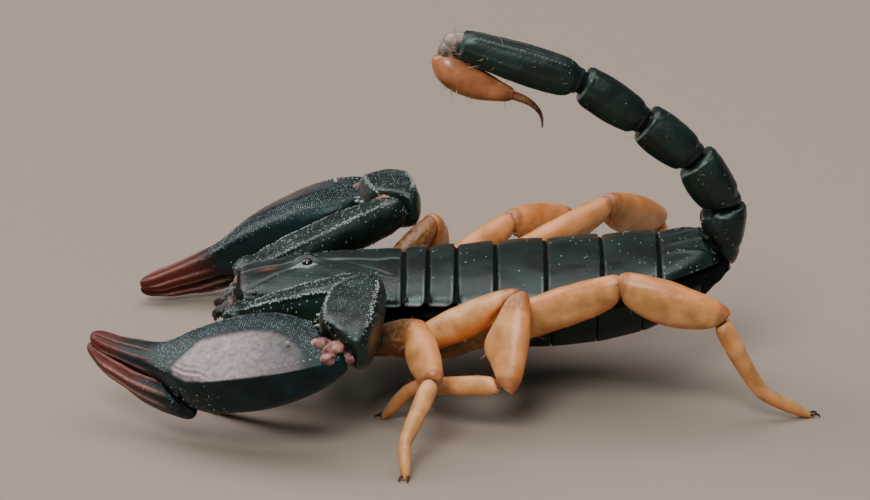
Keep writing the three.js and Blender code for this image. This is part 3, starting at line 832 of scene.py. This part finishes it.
# The root of the tail; each ring then starts where the one before it ends.
tail_start = Vector((10.0, MIDLINE, 5.2))
joint_skins = bmesh.new()
tail_rings = []
for number in range(1, 6):
    node = f"tail_segment_{number}"
    start, end = in_order(node, tail_start)
    ahead = end - start
    measure, along, up, aside = limb_axes(start, end, Vector((-ahead.z, 0, ahead.x)))
    ring = fine(merged(node), f"tail_ring_{number}", SHELL_LEVELS)
    is_last = number == 5
    ring_length = ahead.length

    def ring_relief(place, normal):
        share, angle = measure(place)
        side_on = ramp(1 - abs(normal.dot(along)), 0.1, 0.5)
        body = ramp(share, 0.03, 0.16) * ramp(1 - share, 0.02, 0.12)
        furrow = -0.09 * bump(angle, 0.36)
        keels = 0.055 * bump(angle - DORSAL_KEEL, 0.13) + 0.03 * bump(angle - SIDE_KEEL, 0.14)
        keels += (0.05 if is_last else 0.03) * bump(angle - BELLY_KEEL, 0.13)
        keels += (0.05 if is_last else 0.0) * bump(angle - math.pi, 0.12)
        waist = -0.06 * bump(share * ring_length - 0.15, 0.16)
        rim = 0.015 * bump((1 - share) * ring_length - 0.12, 0.06)
        grain = 0.016 * rough(place, 0.45) + 0.006 * rough(place, 0.15)
        return side_on * (body * (furrow + keels) + waist + rim) + grain

    sculpt(ring, ring_relief)
    if is_last:
        # The last ring ends in two lobes that reach over the root of the sting.
        def lobes(place, normal):
            share, angle = measure(place)
            return along * 0.24 * ramp(share, 0.85, 1.0) * ramp(2.2 - angle, 0, 1.6)

        reshape(ring, lobes)

    def rim_tone(place, normal):
        share, angle = measure(place)
        return 0.7 * bump((1 - share) * ring_length - 0.1, 0.035) * ramp(1.9 - angle, 0, 0.7)

    paint(ring, "pale", rim_tone)
    tree = tree_of(ring)
    grains = []
    keels = [(DORSAL_KEEL, 0.15, 0.024)]
    keels += [(BELLY_KEEL, 0.17, 0.022), (math.pi, 0.17, 0.022)] if is_last else []
    for angle, spacing, size in keels:
        for hand in (-1, 1):
            outward = up * math.cos(angle) + aside * hand * math.sin(angle)
            first, final = start.lerp(end, 0.12), start.lerp(end, 0.92)
            grains += granule_row(tree, first, final, outward, spacing, size, 0.015)
    grains += scattered(ring, 30 if number < 4 else 46, (0.01, 0.024), lambda p, n: 0.6)
    show_beaded(ring, "shell", shell, grains, node)
    tail_rings.append(ring)

    low, high = box_of(node)
    thick = (high.y - low.y) * 0.6
    meeting = start if number == 1 else (start + last_end) / 2
    pod(joint_skins, meeting - along * 0.35, meeting + along * 0.35, thick, thick)
    tail_start = last_end = end

show(rounded(joint_skins, "tail_joint_skins"), "underside", [leather])


# ---- Sting ---------------------------------------------------------------------------------
# A slim bulb of orange-brown horn that lets light through, on a collar of greyish skin.  It
# narrows to a curved near-black point.

def pores(tree, at, size):
    """Cells about size millimetres across, for a pitted skin of horn."""
    cells = add(tree, "TexVoronoi", {"Vector": at, "Scale": 1 / (size * MM)})
    return cells.outputs["Distance"]


amber_bulb, tree, at = new_material("translucent orange sting cuticle")
flesh = two_tone(tree, cloud(tree, at, 0.8, 4.0), "#7c4522", "#b67a50", 0.3, 0.7)
shade(
    tree,
    Base_Color=mix(tree, "tip", flesh, "#1c0c09"),
    Roughness=0.34,
    IOR=1.5,
    Normal=embossed(tree, pores(tree, at, 0.16), 0.2, 0.02),
    Subsurface_Weight=0.3,
    Subsurface_Radius=(0.5, 0.22, 0.1),
    Subsurface_Scale=0.8 * MM,
    Coat_Weight=0.15,
    Coat_Roughness=0.15,
)


def skin_material(name, deep, light, roughness):
    """Soft wrinkled skin between horn pieces, a little translucent."""
    material, tree, at = new_material(name)
    wrinkle = cloud(tree, at, 0.3, 5.0)
    shade(
        tree,
        Base_Color=two_tone(tree, wrinkle, deep, light, 0.35, 0.7),
        Roughness=roughness,
        Normal=embossed(tree, wrinkle, 0.7, 0.05),
        Subsurface_Weight=0.2,
        Subsurface_Scale=0.4 * MM,
    )
    return material


whitish = skin_material("greyish white joint skin", "#2c2a27", "#94897c", 0.5)

bulb_start, bulb_end = in_order("telson_vesicle", tail_start)
bulb = fine(merged("telson_vesicle"), "sting_bulb", SHELL_LEVELS)
sculpt(bulb, lambda p, n: 0.02 * rough(p, 0.6))
bulb_length = (bulb_end - bulb_start).length
paint(
    bulb,
    "tip",
    lambda p, n: 0.5 * ramp((p - bulb_start).length / bulb_length, 0.75, 1.1)
    + 0.35 * ramp((bulb_start - p).length, 0.55, 0.1),
)
show(bulb, "sting_bulb", [amber_bulb], "telson_vesicle")

point_start = in_order("telson_aculeus", bulb_end)[0]
bm = merged("telson_aculeus")
for vert in bm.verts:
    if (vert.co / MM - point_start).length < 0.3:
        vert.co += (bulb_end - point_start).normalized() * 0.3 * MM
sting = fine(bm, "sting_point", SHELL_LEVELS)
paint(sting, "tip", lambda p, n: 0.5 + 0.5 * ramp((p - point_start).length, -0.2, 0.9))
show(sting, "sting_point", [amber_bulb], "telson_aculeus")

bm = bmesh.new()
pod(bm, tail_start + Vector((0.35, 0, 0.1)), tail_start + Vector((-0.62, 0, 0)), 0.85, 0.8)
pod(bm, tail_start + Vector((-0.25, 0, 0.15)), bulb_start + Vector((0.05, 0, -0.25)), 0.75, 0.7)
settle(bm)
collar = rounded(bm, "sting_collar")
sculpt(collar, lambda p, n: 0.05 * rough(p, 0.25))
show(collar, "underside", [whitish])


# ---- Pincers -------------------------------------------------------------------------------
# Each pincer arm has an upper arm and a forearm of granular black horn, with rows of
# granules along their keels, painted pale as glints.  The broad hand has a flat glossy outer
# face above a sharp keel, painted with a pale reflection, and two ridged and toothed fingers
# that turn dark red toward their tips, with painted highlights on the ridges.

SKYWARD = Vector((0, 0, 1))
# Angle of the lower keels of both arm segments from their upper side.
LOW_KEEL = 2.3

# Skin at the arm joints is pinkish and wrinkled.
pink_skin = skin_material("pinkish joint skin", "#472420", "#a87a6d", 0.38)

# Hands and fingers share one horn, dark red where it is thin; its pinkish grey on the polished
# face is a painted reflection, and its pinkish ridge crests are painted highlights.
HAND_TINTS = {"tip": "#560f08", "pale": "#b3a0a2", "ridge_highlight": "#a8776b"}
hand_horn = horn(
    "hand cuticle", "#020a0d", "#0a242b", 0.4, 0.12, 0.4, HAND_TINTS, Specular_IOR_Level=0.36
)

# Wrist and knuckle of each hand, outward from the middle, the roll of its upper face, and
# where along it the red of the fingers begins and is full.
SHIFT_X = EYE_MOUND_X + 5.57
HAND_POSES = {
    "left": ((-4.1, 8.25, 4.1), (-10.15, 6.45, 2.3), 19, (8.2, 9.8)),
    "right": ((-2.8, 8.85, 4.85), (-8.95, 10.5, 1.38), -10, (6.7, 8.9)),
}
# Centre lines of the two fingers in the hand's axes: forward, outward and up.
FIXED_FINGER = [(7.1, -0.5, 0.45), (8.4, -1.08, 0.75), (9.5, -1.62, 1.05), (10.05, -1.94, 1.3)]
MOVING_FINGER = [(6.1, 0.7, -0.75), (7.4, 0.1, -0.38), (8.5, -0.5, -0.1), (9.6, -1.15, 0.44)]
MOVING_FINGER += [(10.25, -1.72, 0.92)]
# Inner and outer edge of the hand's polished face: how far outward they run at each place
# forward.  The outer one leaves the keel near the fingers, and fine wrinkles follow it.
POLISHED_EDGE = [(0.9, 0.9), (1.3, 0.45), (1.9, -0.1), (2.6, -0.34), (3.3, -0.4), (5.2, -0.36)]
POLISHED_EDGE += [(6.0, 0.25), (6.8, 0.7)]
POLISHED_RIM = [(4.0, 2.4), (5.0, 1.6), (5.7, 1.32), (6.25, 0.88), (6.7, 0.0)]


def nearest_pair(these, those):
    return min(((a, b) for a in these for b in those), key=lambda pair: (pair[0] - pair[1]).length)


def farthest(node, place):
    """The middle of the vertices that are farthest from a place."""
    found = [v.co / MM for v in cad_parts[node].data.vertices]
    found.sort(key=lambda spot: -(spot - place).length)
    far = found[: max(4, len(found) // 12)]
    return sum(far, Vector()) / len(far)


def line_at(line, forward):
    """The values of a line of stops at a distance forward, such as outward and up."""
    forward = min(max(forward, line[0][0]), line[-1][0])
    for stop, following in zip(line, line[1:]):
        if forward <= following[0]:
            share = (forward - stop[0]) / (following[0] - stop[0])
            return [a + (b - a) * share for a, b in zip(stop[1:], following[1:])]
    return line[-1][1:]


def arm_segment(node, name, start, end, top_keel, reach):
    """A fine arm segment with two keels on each side; returns it, their granules, its axes."""
    measure, along, up, aside = limb_axes(start, end, SKYWARD)
    piece = fine(merged(node), name, SHELL_LEVELS)

    def keel_relief(place, normal):
        if abs(normal.dot(along)) > 0.8:
            return 0
        share, angle = measure(place)
        body = ramp(share, 0.06, 0.2) * ramp(1 - share, 0.04, 0.16)
        keels = sum(0.06 * bump(angle - keel, 0.12) for keel in (top_keel, LOW_KEEL))
        flat = -0.05 * bump(angle, 0.45)
        return body * (keels + flat) + 0.03 * rough(place, 0.5) + 0.012 * rough(place, 0.16)

    sculpt(piece, keel_relief)
    tree = tree_of(piece)
    first, final = start.lerp(end, reach[0]), start.lerp(end, reach[1])
    grains = []
    for hand_side in (-1, 1):
        for angle, size in ((top_keel, 0.036), (LOW_KEEL, 0.03)):
            outward = up * math.cos(angle) + aside * hand_side * math.sin(angle)
            for _ in range(3):
                grains += granule_row(tree, first, final, outward, 0.12, size, 0.07)
    return piece, grains, up, aside


for side, name in SIDES:
    upper, fore, hand, finger = [
        f"pedipalp_{part}_{name}" for part in ("femur", "patella", "hand", "finger")
    ]
    wrist, knuckle = [
        Vector((x + SHIFT_X, MIDLINE + side * out, z)) for x, out, z in HAND_POSES[name][:2]
    ]
    forearm_ends = end_points(fore)
    elbow = max(forearm_ends, key=lambda point: (point - wrist).length)
    shoulder = farthest(upper, elbow)

    # Upper arm: granules crowd its keels and are strewn between them.
    arm, grains, up, aside = arm_segment(
        upper, f"upper_arm_{name}", shoulder, elbow, 0.85, (0.2, 0.96)
    )
    grains += scattered(arm, 330, (0.014, 0.034), lambda p, n: ramp(n.z, -0.2, 0.6))
    show_beaded(arm, "shell", shell, grains, upper)

    # Forearm: a flat granular upper face with a beaded rim, and spurs on its inner side.
    arm, grains, up, aside = arm_segment(
        fore, f"forearm_{name}", elbow, wrist, 0.8, (0.05, 0.9)
    )
    grains += scattered(arm, 420, (0.012, 0.026), lambda p, n: ramp(n.dot(up), 0.3, 0.8) + 0.08)
    tree = tree_of(arm)
    inner = aside if aside.x < 0 else -aside
    for share, rise in ((0.3, 0.1), (0.38, -0.15), (0.45, 0.15), (0.55, -0.05), (0.4, -0.4)):
        origin = elbow.lerp(wrist, share) + up * rise
        hit, normal, _, _ = tree.ray_cast(origin * MM, inner)
        if hit:
            grains.append(standing(hit, normal, 0.075, 2.2))
    show_beaded(arm, "shell", shell, grains, fore)

    # The hand's own axes, as it lies in its pose.
    forward = (knuckle - wrist).normalized()
    level = SKYWARD.cross(forward).normalized()
    across = Quaternion(forward, math.radians(HAND_POSES[name][2]) * side) @ level
    lift = forward.cross(across)
    outward = across * -side

    def in_hand(place):
        offset = place - wrist
        return offset.dot(forward), offset.dot(outward), offset.dot(lift)

    def from_hand(f, o, u):
        return wrist + forward * f + outward * o + lift * u

    def finger_angle(place, line):
        """Angle round a finger's centre line, from its upper side."""
        f, o, u = in_hand(place)
        centre_out, centre_up = line_at(line, f)
        return math.atan2(o - centre_out, u - centre_up)

    def reddening(place, normal):
        return 0.9 * ramp(in_hand(place)[0], *HAND_POSES[name][3])

    def ridge_tops(place, line, first):
        """Up to one on the crests of the ridges that run along a finger."""
        f = in_hand(place)[0]
        ends = ramp(f, first, first + 0.9) * ramp(10.2 - f, 0, 0.8)
        return ends * (0.5 + 0.5 * math.cos(finger_angle(place, line) * 8 + 0.8)) ** 3

    def blunting(place):
        return 0.09 * ramp(in_hand(place)[0], 8.8, 9.9)

    # Palm: its outer keel is a sharp edge; above it lies the polished face, and inward of that
    # a granular one.
    bm = merged(hand)
    rows = {}
    for vert in bm.verts:
        f, o, u = in_hand(vert.co / MM)
        rows.setdefault(round(f, 1), []).append((0.93 * o + 0.37 * u, vert.index, vert))
    keel = {max(row)[2] for row in rows.values()}

    def sharp_keel(edge):
        first, second = edge.verts
        behind_fingers = in_hand(first.co / MM)[0] < 5.2
        return 0.9 * (first in keel and second in keel and behind_fingers)

    palm = fine(bm, f"hand_{name}", 4, sharp_keel)

    def wrinkles(place):
        """Fine folds that follow the rim at the finger end of the polished face."""
        f, o, u = in_hand(place)
        inward = line_at(POLISHED_RIM, f)[0] - o
        return math.cos(math.tau * inward / 0.22) * ramp(f, 4.2, 5.0) * bump(inward - 0.3, 0.3)

    def polished(place, normal):
        """One on the polished face, between its slanting inner edge and the outer keel, where its
        painted reflection lies.
        """
        f, o, u = in_hand(place)
        inside = ramp(o - line_at(POLISHED_EDGE, f)[0], -0.1, 0.25)
        inside *= ramp(line_at(POLISHED_RIM, f)[0] - o, -0.05, 0.12)
        ends = 0.35 * ramp(f, 0.9, 1.5) + 0.65 * ramp(f, 1.4, 4.0)
        mottle = 0.85 + 0.25 * rough(place, 0.35) + 0.3 * wrinkles(place)
        return inside * ends * mottle * ramp(normal.dot(lift), 0.35, 0.6)

    def palm_relief(place, normal):
        f, o, u = in_hand(place)
        knuckle_groove = -0.07 * bump(f - 6.3 + 0.35 * u, 0.09) * ramp(o, 0.2, 0.7) * (u < 0.4)
        lumps = 0.02 * rough(place, 1.1) + 0.006 * rough(place, 0.2)
        lumps += (0.035 + 0.016 * wrinkles(place)) * polished(place, normal)
        ridges = 0.05 * ridge_tops(place, FIXED_FINGER, 7.2)
        return knuckle_groove + ridges + lumps + blunting(place)

    sculpt(palm, palm_relief)
    paint(palm, "tip", reddening)
    # Painted reflection: the polished face is painted pinkish grey, strongly on the left hand and
    # faintly on the right.
    paint(palm, "pale", lambda p, n: (0.7 if side < 0 else 0.2) * polished(p, n))
    # Painted highlights on the crests of the fixed finger's ridges.
    paint(palm, "ridge_highlight", lambda p, n: 0.35 * ridge_tops(p, FIXED_FINGER, 7.2))

    def granular(place, normal):
        f, o, u = in_hand(place)
        dull = 1 - ramp(o - line_at(POLISHED_EDGE, f)[0], -0.35, 0.1)
        return ramp(normal.dot(lift), 0.5, 0.8) * dull * ramp(7.6 - f, 0, 0.8)

    grains = scattered(palm, 1500, (0.009, 0.022), granular)
    below = lambda p, n: (n.dot(lift) < 0.1) * bump(in_hand(p)[0] - 5.6, 1.1)
    grains += scattered(palm, 120, (0.016, 0.034), below)
    # Beads follow the sharp outer keel near the wrist.
    tree = tree_of(palm)
    keel_out = outward * 0.88 + lift * 0.48
    for k in range(12):
        f = 0.9 + k * 0.2
        hit, normal, _, _ = tree.ray_cast(from_hand(f, 0, 0) * MM, keel_out)
        if hit:
            grains.append(standing(hit, normal, 0.05 - 0.002 * k, 0.8))
    show_beaded(palm, "shell", hand_horn, grains, hand)

    # Moving finger: its outer half lies close under the fixed finger.
    mover = fine(merged(finger), f"moving_finger_{name}", SHELL_LEVELS)
    closing = (lift * 0.85 - outward * 0.35).normalized()
    reshape(mover, lambda p, n: closing * 0.1 * ramp(in_hand(p)[0], 8.2, 9.0))

    def finger_relief(place, normal):
        ridges = 0.06 * ridge_tops(place, MOVING_FINGER, 6.8)
        return ridges + 0.012 * rough(place, 0.3) + blunting(place)

    sculpt(mover, finger_relief)
    paint(mover, "tip", lambda p, n: 0.9 * ramp(in_hand(p)[0], 7.2, 9.2))
    # Painted highlights on the crests of the moving finger's ridges.
    paint(mover, "ridge_highlight", lambda p, n: 0.7 * ridge_tops(p, MOVING_FINGER, 6.8))
    grains = scattered(mover, 90, (0.012, 0.026), lambda p, n: in_hand(p)[0] < 8.2)
    show_beaded(mover, "finger", hand_horn, grains, finger)

    # Teeth: a close row of small denticles along the facing edges of both fingers.
    teeth = bmesh.new()
    for line, surface_piece, facing in (
        (FIXED_FINGER, palm, -closing),
        (MOVING_FINGER, mover, closing),
    ):
        tree = tree_of(surface_piece)
        for k in range(44):
            f = 7.3 + 2.6 * k / 43
            hit, normal, _, _ = tree.ray_cast(from_hand(f, *line_at(line, f)) * MM, facing)
            if hit:
                size = 0.045 if k % 7 == 3 else 0.028
                foot = hit / MM - facing * 0.02
                horn_tube(teeth, [foot, foot + facing * size * 2], [size, size * 0.3], 6)
    show(rounded(teeth, f"finger_teeth_{name}"), "finger", [jaw_horn])

    # Joint skin shows pinkish at the elbow and over the wrist, in a few soft folds, and a
    # pearl of horn, painted pale as a glint like the granules, sits on the hand beside them.
    bm = bmesh.new()
    fold_sites = [
        (shoulder + Vector((0.25, 0, 0)), elbow - shoulder, 0.7, 0.45),
        (elbow + inner * 0.35, wrist - elbow, 1.1, 0.5),
        (wrist - lift * 0.35, forward, 0.5, 0.5),
        (from_hand(0.74, 0.05, 0.44), forward, 0.6, 0.5),
        (from_hand(0.22, 0.25, 0.32), forward + outward * 0.4, 0.56, 0.42),
        (from_hand(0.36, 0.72, 0.26), forward, 0.48, 0.36),
    ]
    for centre, direction, wide, reach in fold_sites:
        half = direction.normalized() * reach
        pod(bm, centre - half, centre + half, wide, wide, 24)
    skins = rounded(bm, f"arm_joint_skins_{name}")
    sculpt(skins, lambda p, n: 0.06 * rough(p, 0.22))
    pearl = standing(from_hand(1.68, 0.45, 1.05) * MM, lift, 0.09, 1.2)
    show_beaded(skins, "underside", pink_skin, [pearl])


# ---- Legs ----------------------------------------------------------------------------------
# Eight walking legs of thin flesh-brown horn that light shines into.  The flat blades of
# thigh and patella have dark red joints and orange edges painted as shade, most where they
# face down; the feet have orange painted shade below, and the thighs darker painted shade near
# the body.  Each foot ends in two claws.

amber, tree, at = new_material("translucent amber leg cuticle")
tan = two_tone(tree, cloud(tree, at, 0.9, 6.0), "#956a30", "#d69c66", 0.3, 0.66)
# Tints: orange painted shade on edges and undersides, the joints' own dark red, and dark olive
# painted shade on the thighs near the body.
for attribute, tint in (("edge_and_underside_shade", "#cf6a17"), ("joint", "#5a2010"), ("deep", "#2b210f")):
    tan = mix(tree, attribute, tan, tint)
shade(
    tree,
    Base_Color=tan,
    Roughness=0.42,
    IOR=1.5,
    Normal=embossed(tree, pores(tree, at, 0.14), 0.3, 0.02),
    Subsurface_Weight=0.25,
    Subsurface_Radius=(0.6, 0.28, 0.12),
    Subsurface_Scale=0.7 * MM,
    Coat_Weight=0.08,
    Coat_Roughness=0.3,
)
claw_horn = horn("dark brown claw cuticle", "#1d0c07", "#3a1c11", 0.25, 0.1, 0.2)
joint_brown = skin_material("reddish brown joint skin", "#3a170d", "#8a4c2a", 0.45)


def ring_numbers(bm, pole):
    """Numbers a limb solid's rings from one end point, as a vertex layer."""
    layer = bm.verts.layers.float.new("ring")
    start = min(bm.verts, key=lambda vert: (vert.co / MM - pole).length)
    seen, front, step = {start}, [start], 0
    while front:
        for vert in front:
            vert[layer] = step
        front = list({e.other_vert(v) for v in front for e in v.link_edges} - seen)
        seen.update(front)
        step += 1


def broad_side(piece, along):
    """The direction across a limb in which it is broadest."""
    some = [v.co.copy() for v in list(piece.data.vertices)[::7]]
    seed = along.orthogonal().normalized()
    turned = [Quaternion(along, math.pi * k / 24) @ seed for k in range(24)]

    def breadth(direction):
        reach = [direction.dot(place) for place in some]
        return max(reach) - min(reach)

    return max(turned, key=breadth)


LEG_NODES = ("femur", "patella", "foot")
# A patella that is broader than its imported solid, and by what share.
LEG_WIDENING = {("patella", 3, "left"): 0.24}
# Painted shade on each pair's thigh near the body, where it lies in shadow: how dark, and how far
# along it that reaches.
LEG_SHADES = {1: (1.0, 1.3), 2: (0.9, 1.3), 3: (0.4, 0.45), 4: (0.75, 0.6)}
# How far the blades run on into their joints, and bristles on each blade and on each foot.
JOINT_REACH = 0.13
BLADE_BRISTLES = 34
FOOT_BRISTLES = 60
leg_pieces = []
for side, name in SIDES:
    for pair in range(1, 5):
        thigh, patella, foot = [f"leg_{pair}_{kind}_{name}" for kind in LEG_NODES]
        patella_ends = end_points(patella)
        shin_in, shin_out = nearest_pair(patella_ends, end_points(foot))
        knee = max(patella_ends, key=lambda point: (point - shin_in).length)
        hip = farthest(thigh, knee)
        toe = max(end_points(foot), key=lambda point: (point - shin_out).length)

        for node, part, start, end in (
            (thigh, "thigh", hip, knee),
            (patella, "patella", knee, shin_in),
        ):
            measure, along, up, aside = limb_axes(start, end, SKYWARD)
            piece = fine(merged(node), f"leg_{pair}_{part}_of_{name}", SHELL_LEVELS)
            broad = broad_side(piece, along)
            widening = LEG_WIDENING.get((part, pair, name), 0)

            def lengthen(place, normal):
                """Carries both ends into their joints, and broadens the blade."""
                share = measure(place)[0]
                push = JOINT_REACH * (ramp(share, 0.75, 1) - ramp(1 - share, 0.75, 1))
                return along * push + broad * broad.dot(place - start) * widening

            reshape(piece, lengthen)
            sculpt(piece, lambda p, n: 0.03 * rough(p, 0.6) + 0.008 * rough(p, 0.15))

            # Painted shade: orange on the blade's thin edges, strongest where they face down.
            def edge_shade_tone(place, normal):
                edge = ramp(abs(normal.dot(broad)), 0.25, 0.8)
                return 0.95 * edge * (0.35 + 0.65 * ramp(-normal.z, -0.3, 0.5))

            def joint_tone(place, normal):
                share = measure(place)[0]
                near_end = 0.5 * (part == "patella") * ramp(0.03 - share, 0, 0.03)
                return 0.6 * ramp(share, 0.965, 1.0) + near_end

            dark, reach = LEG_SHADES[pair] if part == "thigh" else (0, 0)
            paint(piece, "edge_and_underside_shade", edge_shade_tone)
            # Painted shade: the thigh darkens toward the body.
            paint(piece, "deep", lambda p, n: dark * ramp(reach - measure(p)[0], 0, 0.5))
            paint(piece, "joint", joint_tone)
            show(piece, "leg", [amber], node)
            leg_pieces.append((piece, along, BLADE_BRISTLES))

        bm = merged(foot)
        ring_numbers(bm, shin_out)
        piece = fine(bm, f"leg_{pair}_foot_of_{name}", SHELL_LEVELS)
        rings = iter([entry.value for entry in piece.data.attributes["ring"].data])
        # Painted shade: orange on the underside of the foot.
        paint(piece, "edge_and_underside_shade", lambda p, n: 0.55 * ramp(-n.z, -0.2, 0.8))

        def joint_bands(place, normal):
            at_ring = next(rings)
            bands = max(bump(at_ring - 3.5, 0.3), bump(at_ring - 5.5, 0.3))
            return 0.35 * bands + 0.3 * ramp(0.3 - at_ring, 0, 0.3)

        paint(piece, "joint", joint_bands)
        show(piece, "leg", [amber], foot)
        leg_pieces.append((piece, (toe - shin_out).normalized(), FOOT_BRISTLES))

        # Two curved claws spread from the tip of each foot.
        bm = bmesh.new()
        ahead = Vector((toe.x - shin_out.x, toe.y - shin_out.y, 0)).normalized()
        beside = Vector((-ahead.y, ahead.x, 0))
        root = toe + Vector((0, 0, 0.12))
        for spread in (-1, 1):
            points = [
                root - ahead * 0.1 + beside * spread * 0.05,
                root + ahead * 0.12 + beside * spread * 0.12 + Vector((0, 0, 0.05)),
                root + ahead * 0.25 + beside * spread * 0.16,
                root + ahead * 0.31 + beside * spread * 0.17 + Vector((0, 0, -0.1)),
            ]
            horn_tube(bm, points, [0.07, 0.055, 0.035, 0.01], 8)
        show(rounded(bm, f"leg_{pair}_claws_{name}"), "leg", [claw_horn])

        # Joint skin fills the knee and the joint under the patella.
        bm = bmesh.new()
        for centre, direction in ((knee, shin_in - hip), ((shin_in + shin_out) / 2, toe - knee)):
            half = direction.normalized() * 0.3
            pod(bm, centre - half, centre + half, 0.46, 0.46, 12)
        show(rounded(bm, f"leg_{pair}_joint_skins_{name}"), "leg", [joint_brown])


# ---- Bristles ------------------------------------------------------------------------------
# Short stiff straw-coloured hairs stand on the legs, the sting and the tail.  Each is a thin
# bent spike of mesh, and those of the legs and those of the tail are one piece each.

bristle, tree, at = new_material("straw-coloured bristles")
straw = two_tone(tree, cloud(tree, at, 0.3), "#6b5238", "#c2b08e")
shade(tree, Base_Color=straw, Roughness=0.4)


def spike_shape():
    """A bent spike one unit long, tapering to a point; it is stamped hundreds of times."""
    bm = bmesh.new()
    bends = [Vector((0, 0, -0.05)), Vector((0.03, 0, 0.4)), Vector((0.14, 0, 0.95))]
    horn_tube(bm, bends, [0.03, 0.022, 0.005], 4)
    bmesh.ops.recalc_face_normals(bm, faces=bm.faces)
    bmesh.ops.transform(bm, matrix=Matrix.Scale(1 / MM, 4), verts=bm.verts)
    return mesh_from(bm, "spike")


SPIKE = spike_shape()


def spikes(name, slot, groups):
    """One piece of bristles that stand on the pieces of several groups."""
    piece = link(name, bpy.data.meshes.new(name))
    found = [(spots(*group[:3]), *group[3:]) for group in groups]
    matrices = []
    for places, lean, shortest, longest in found:
        for place, normal in places:
            wander = Vector([chance.uniform(-0.3, 0.3) for _ in range(3)])
            rise = (normal + lean * 0.7 + wander).normalized()
            size = chance.uniform(shortest, longest)
            turn = rise.to_track_quat("Z", "Y") @ Quaternion((0, 0, 1), chance.uniform(0, 6))
            matrix = Matrix.Translation(place) @ turn.to_matrix().to_4x4()
            matrices.append(matrix @ Matrix.Diagonal((size * MM, size * MM, size * MM, 1)))
    stamp(piece, SPIKE, matrices)
    show(piece, slot, [bristle])


# Each group as piece, number, likelihood by place, lean, shortest and longest.
often = lambda p, n: 0.7
mostly = lambda p, n: 0.8
at_tail_end = lambda p, n: p.x < tail_start.x + 0.25
leg_groups = [(piece, count, often, lean, 0.12, 0.32) for piece, lean, count in leg_pieces]
spikes("leg_bristles", "leg", leg_groups)
forward_lean = Vector((-0.8, 0, 0.3))
tail_groups = [
    (bulb, 26, mostly, Vector((0.6, 0, -0.4)), 0.25, 0.6),
    (tail_rings[4], 26, often, forward_lean, 0.25, 0.5),
    (tail_rings[4], 16, at_tail_end, forward_lean, 0.3, 0.6),
    (collar, 22, mostly, Vector((-0.5, 0, 0.5)), 0.3, 0.55),
]
tail_groups += [(ring, 9, often, Vector((-0.4, 0, 0.4)), 0.25, 0.45) for ring in tail_rings[:4]]
spikes("tail_bristles", "shell", tail_groups)
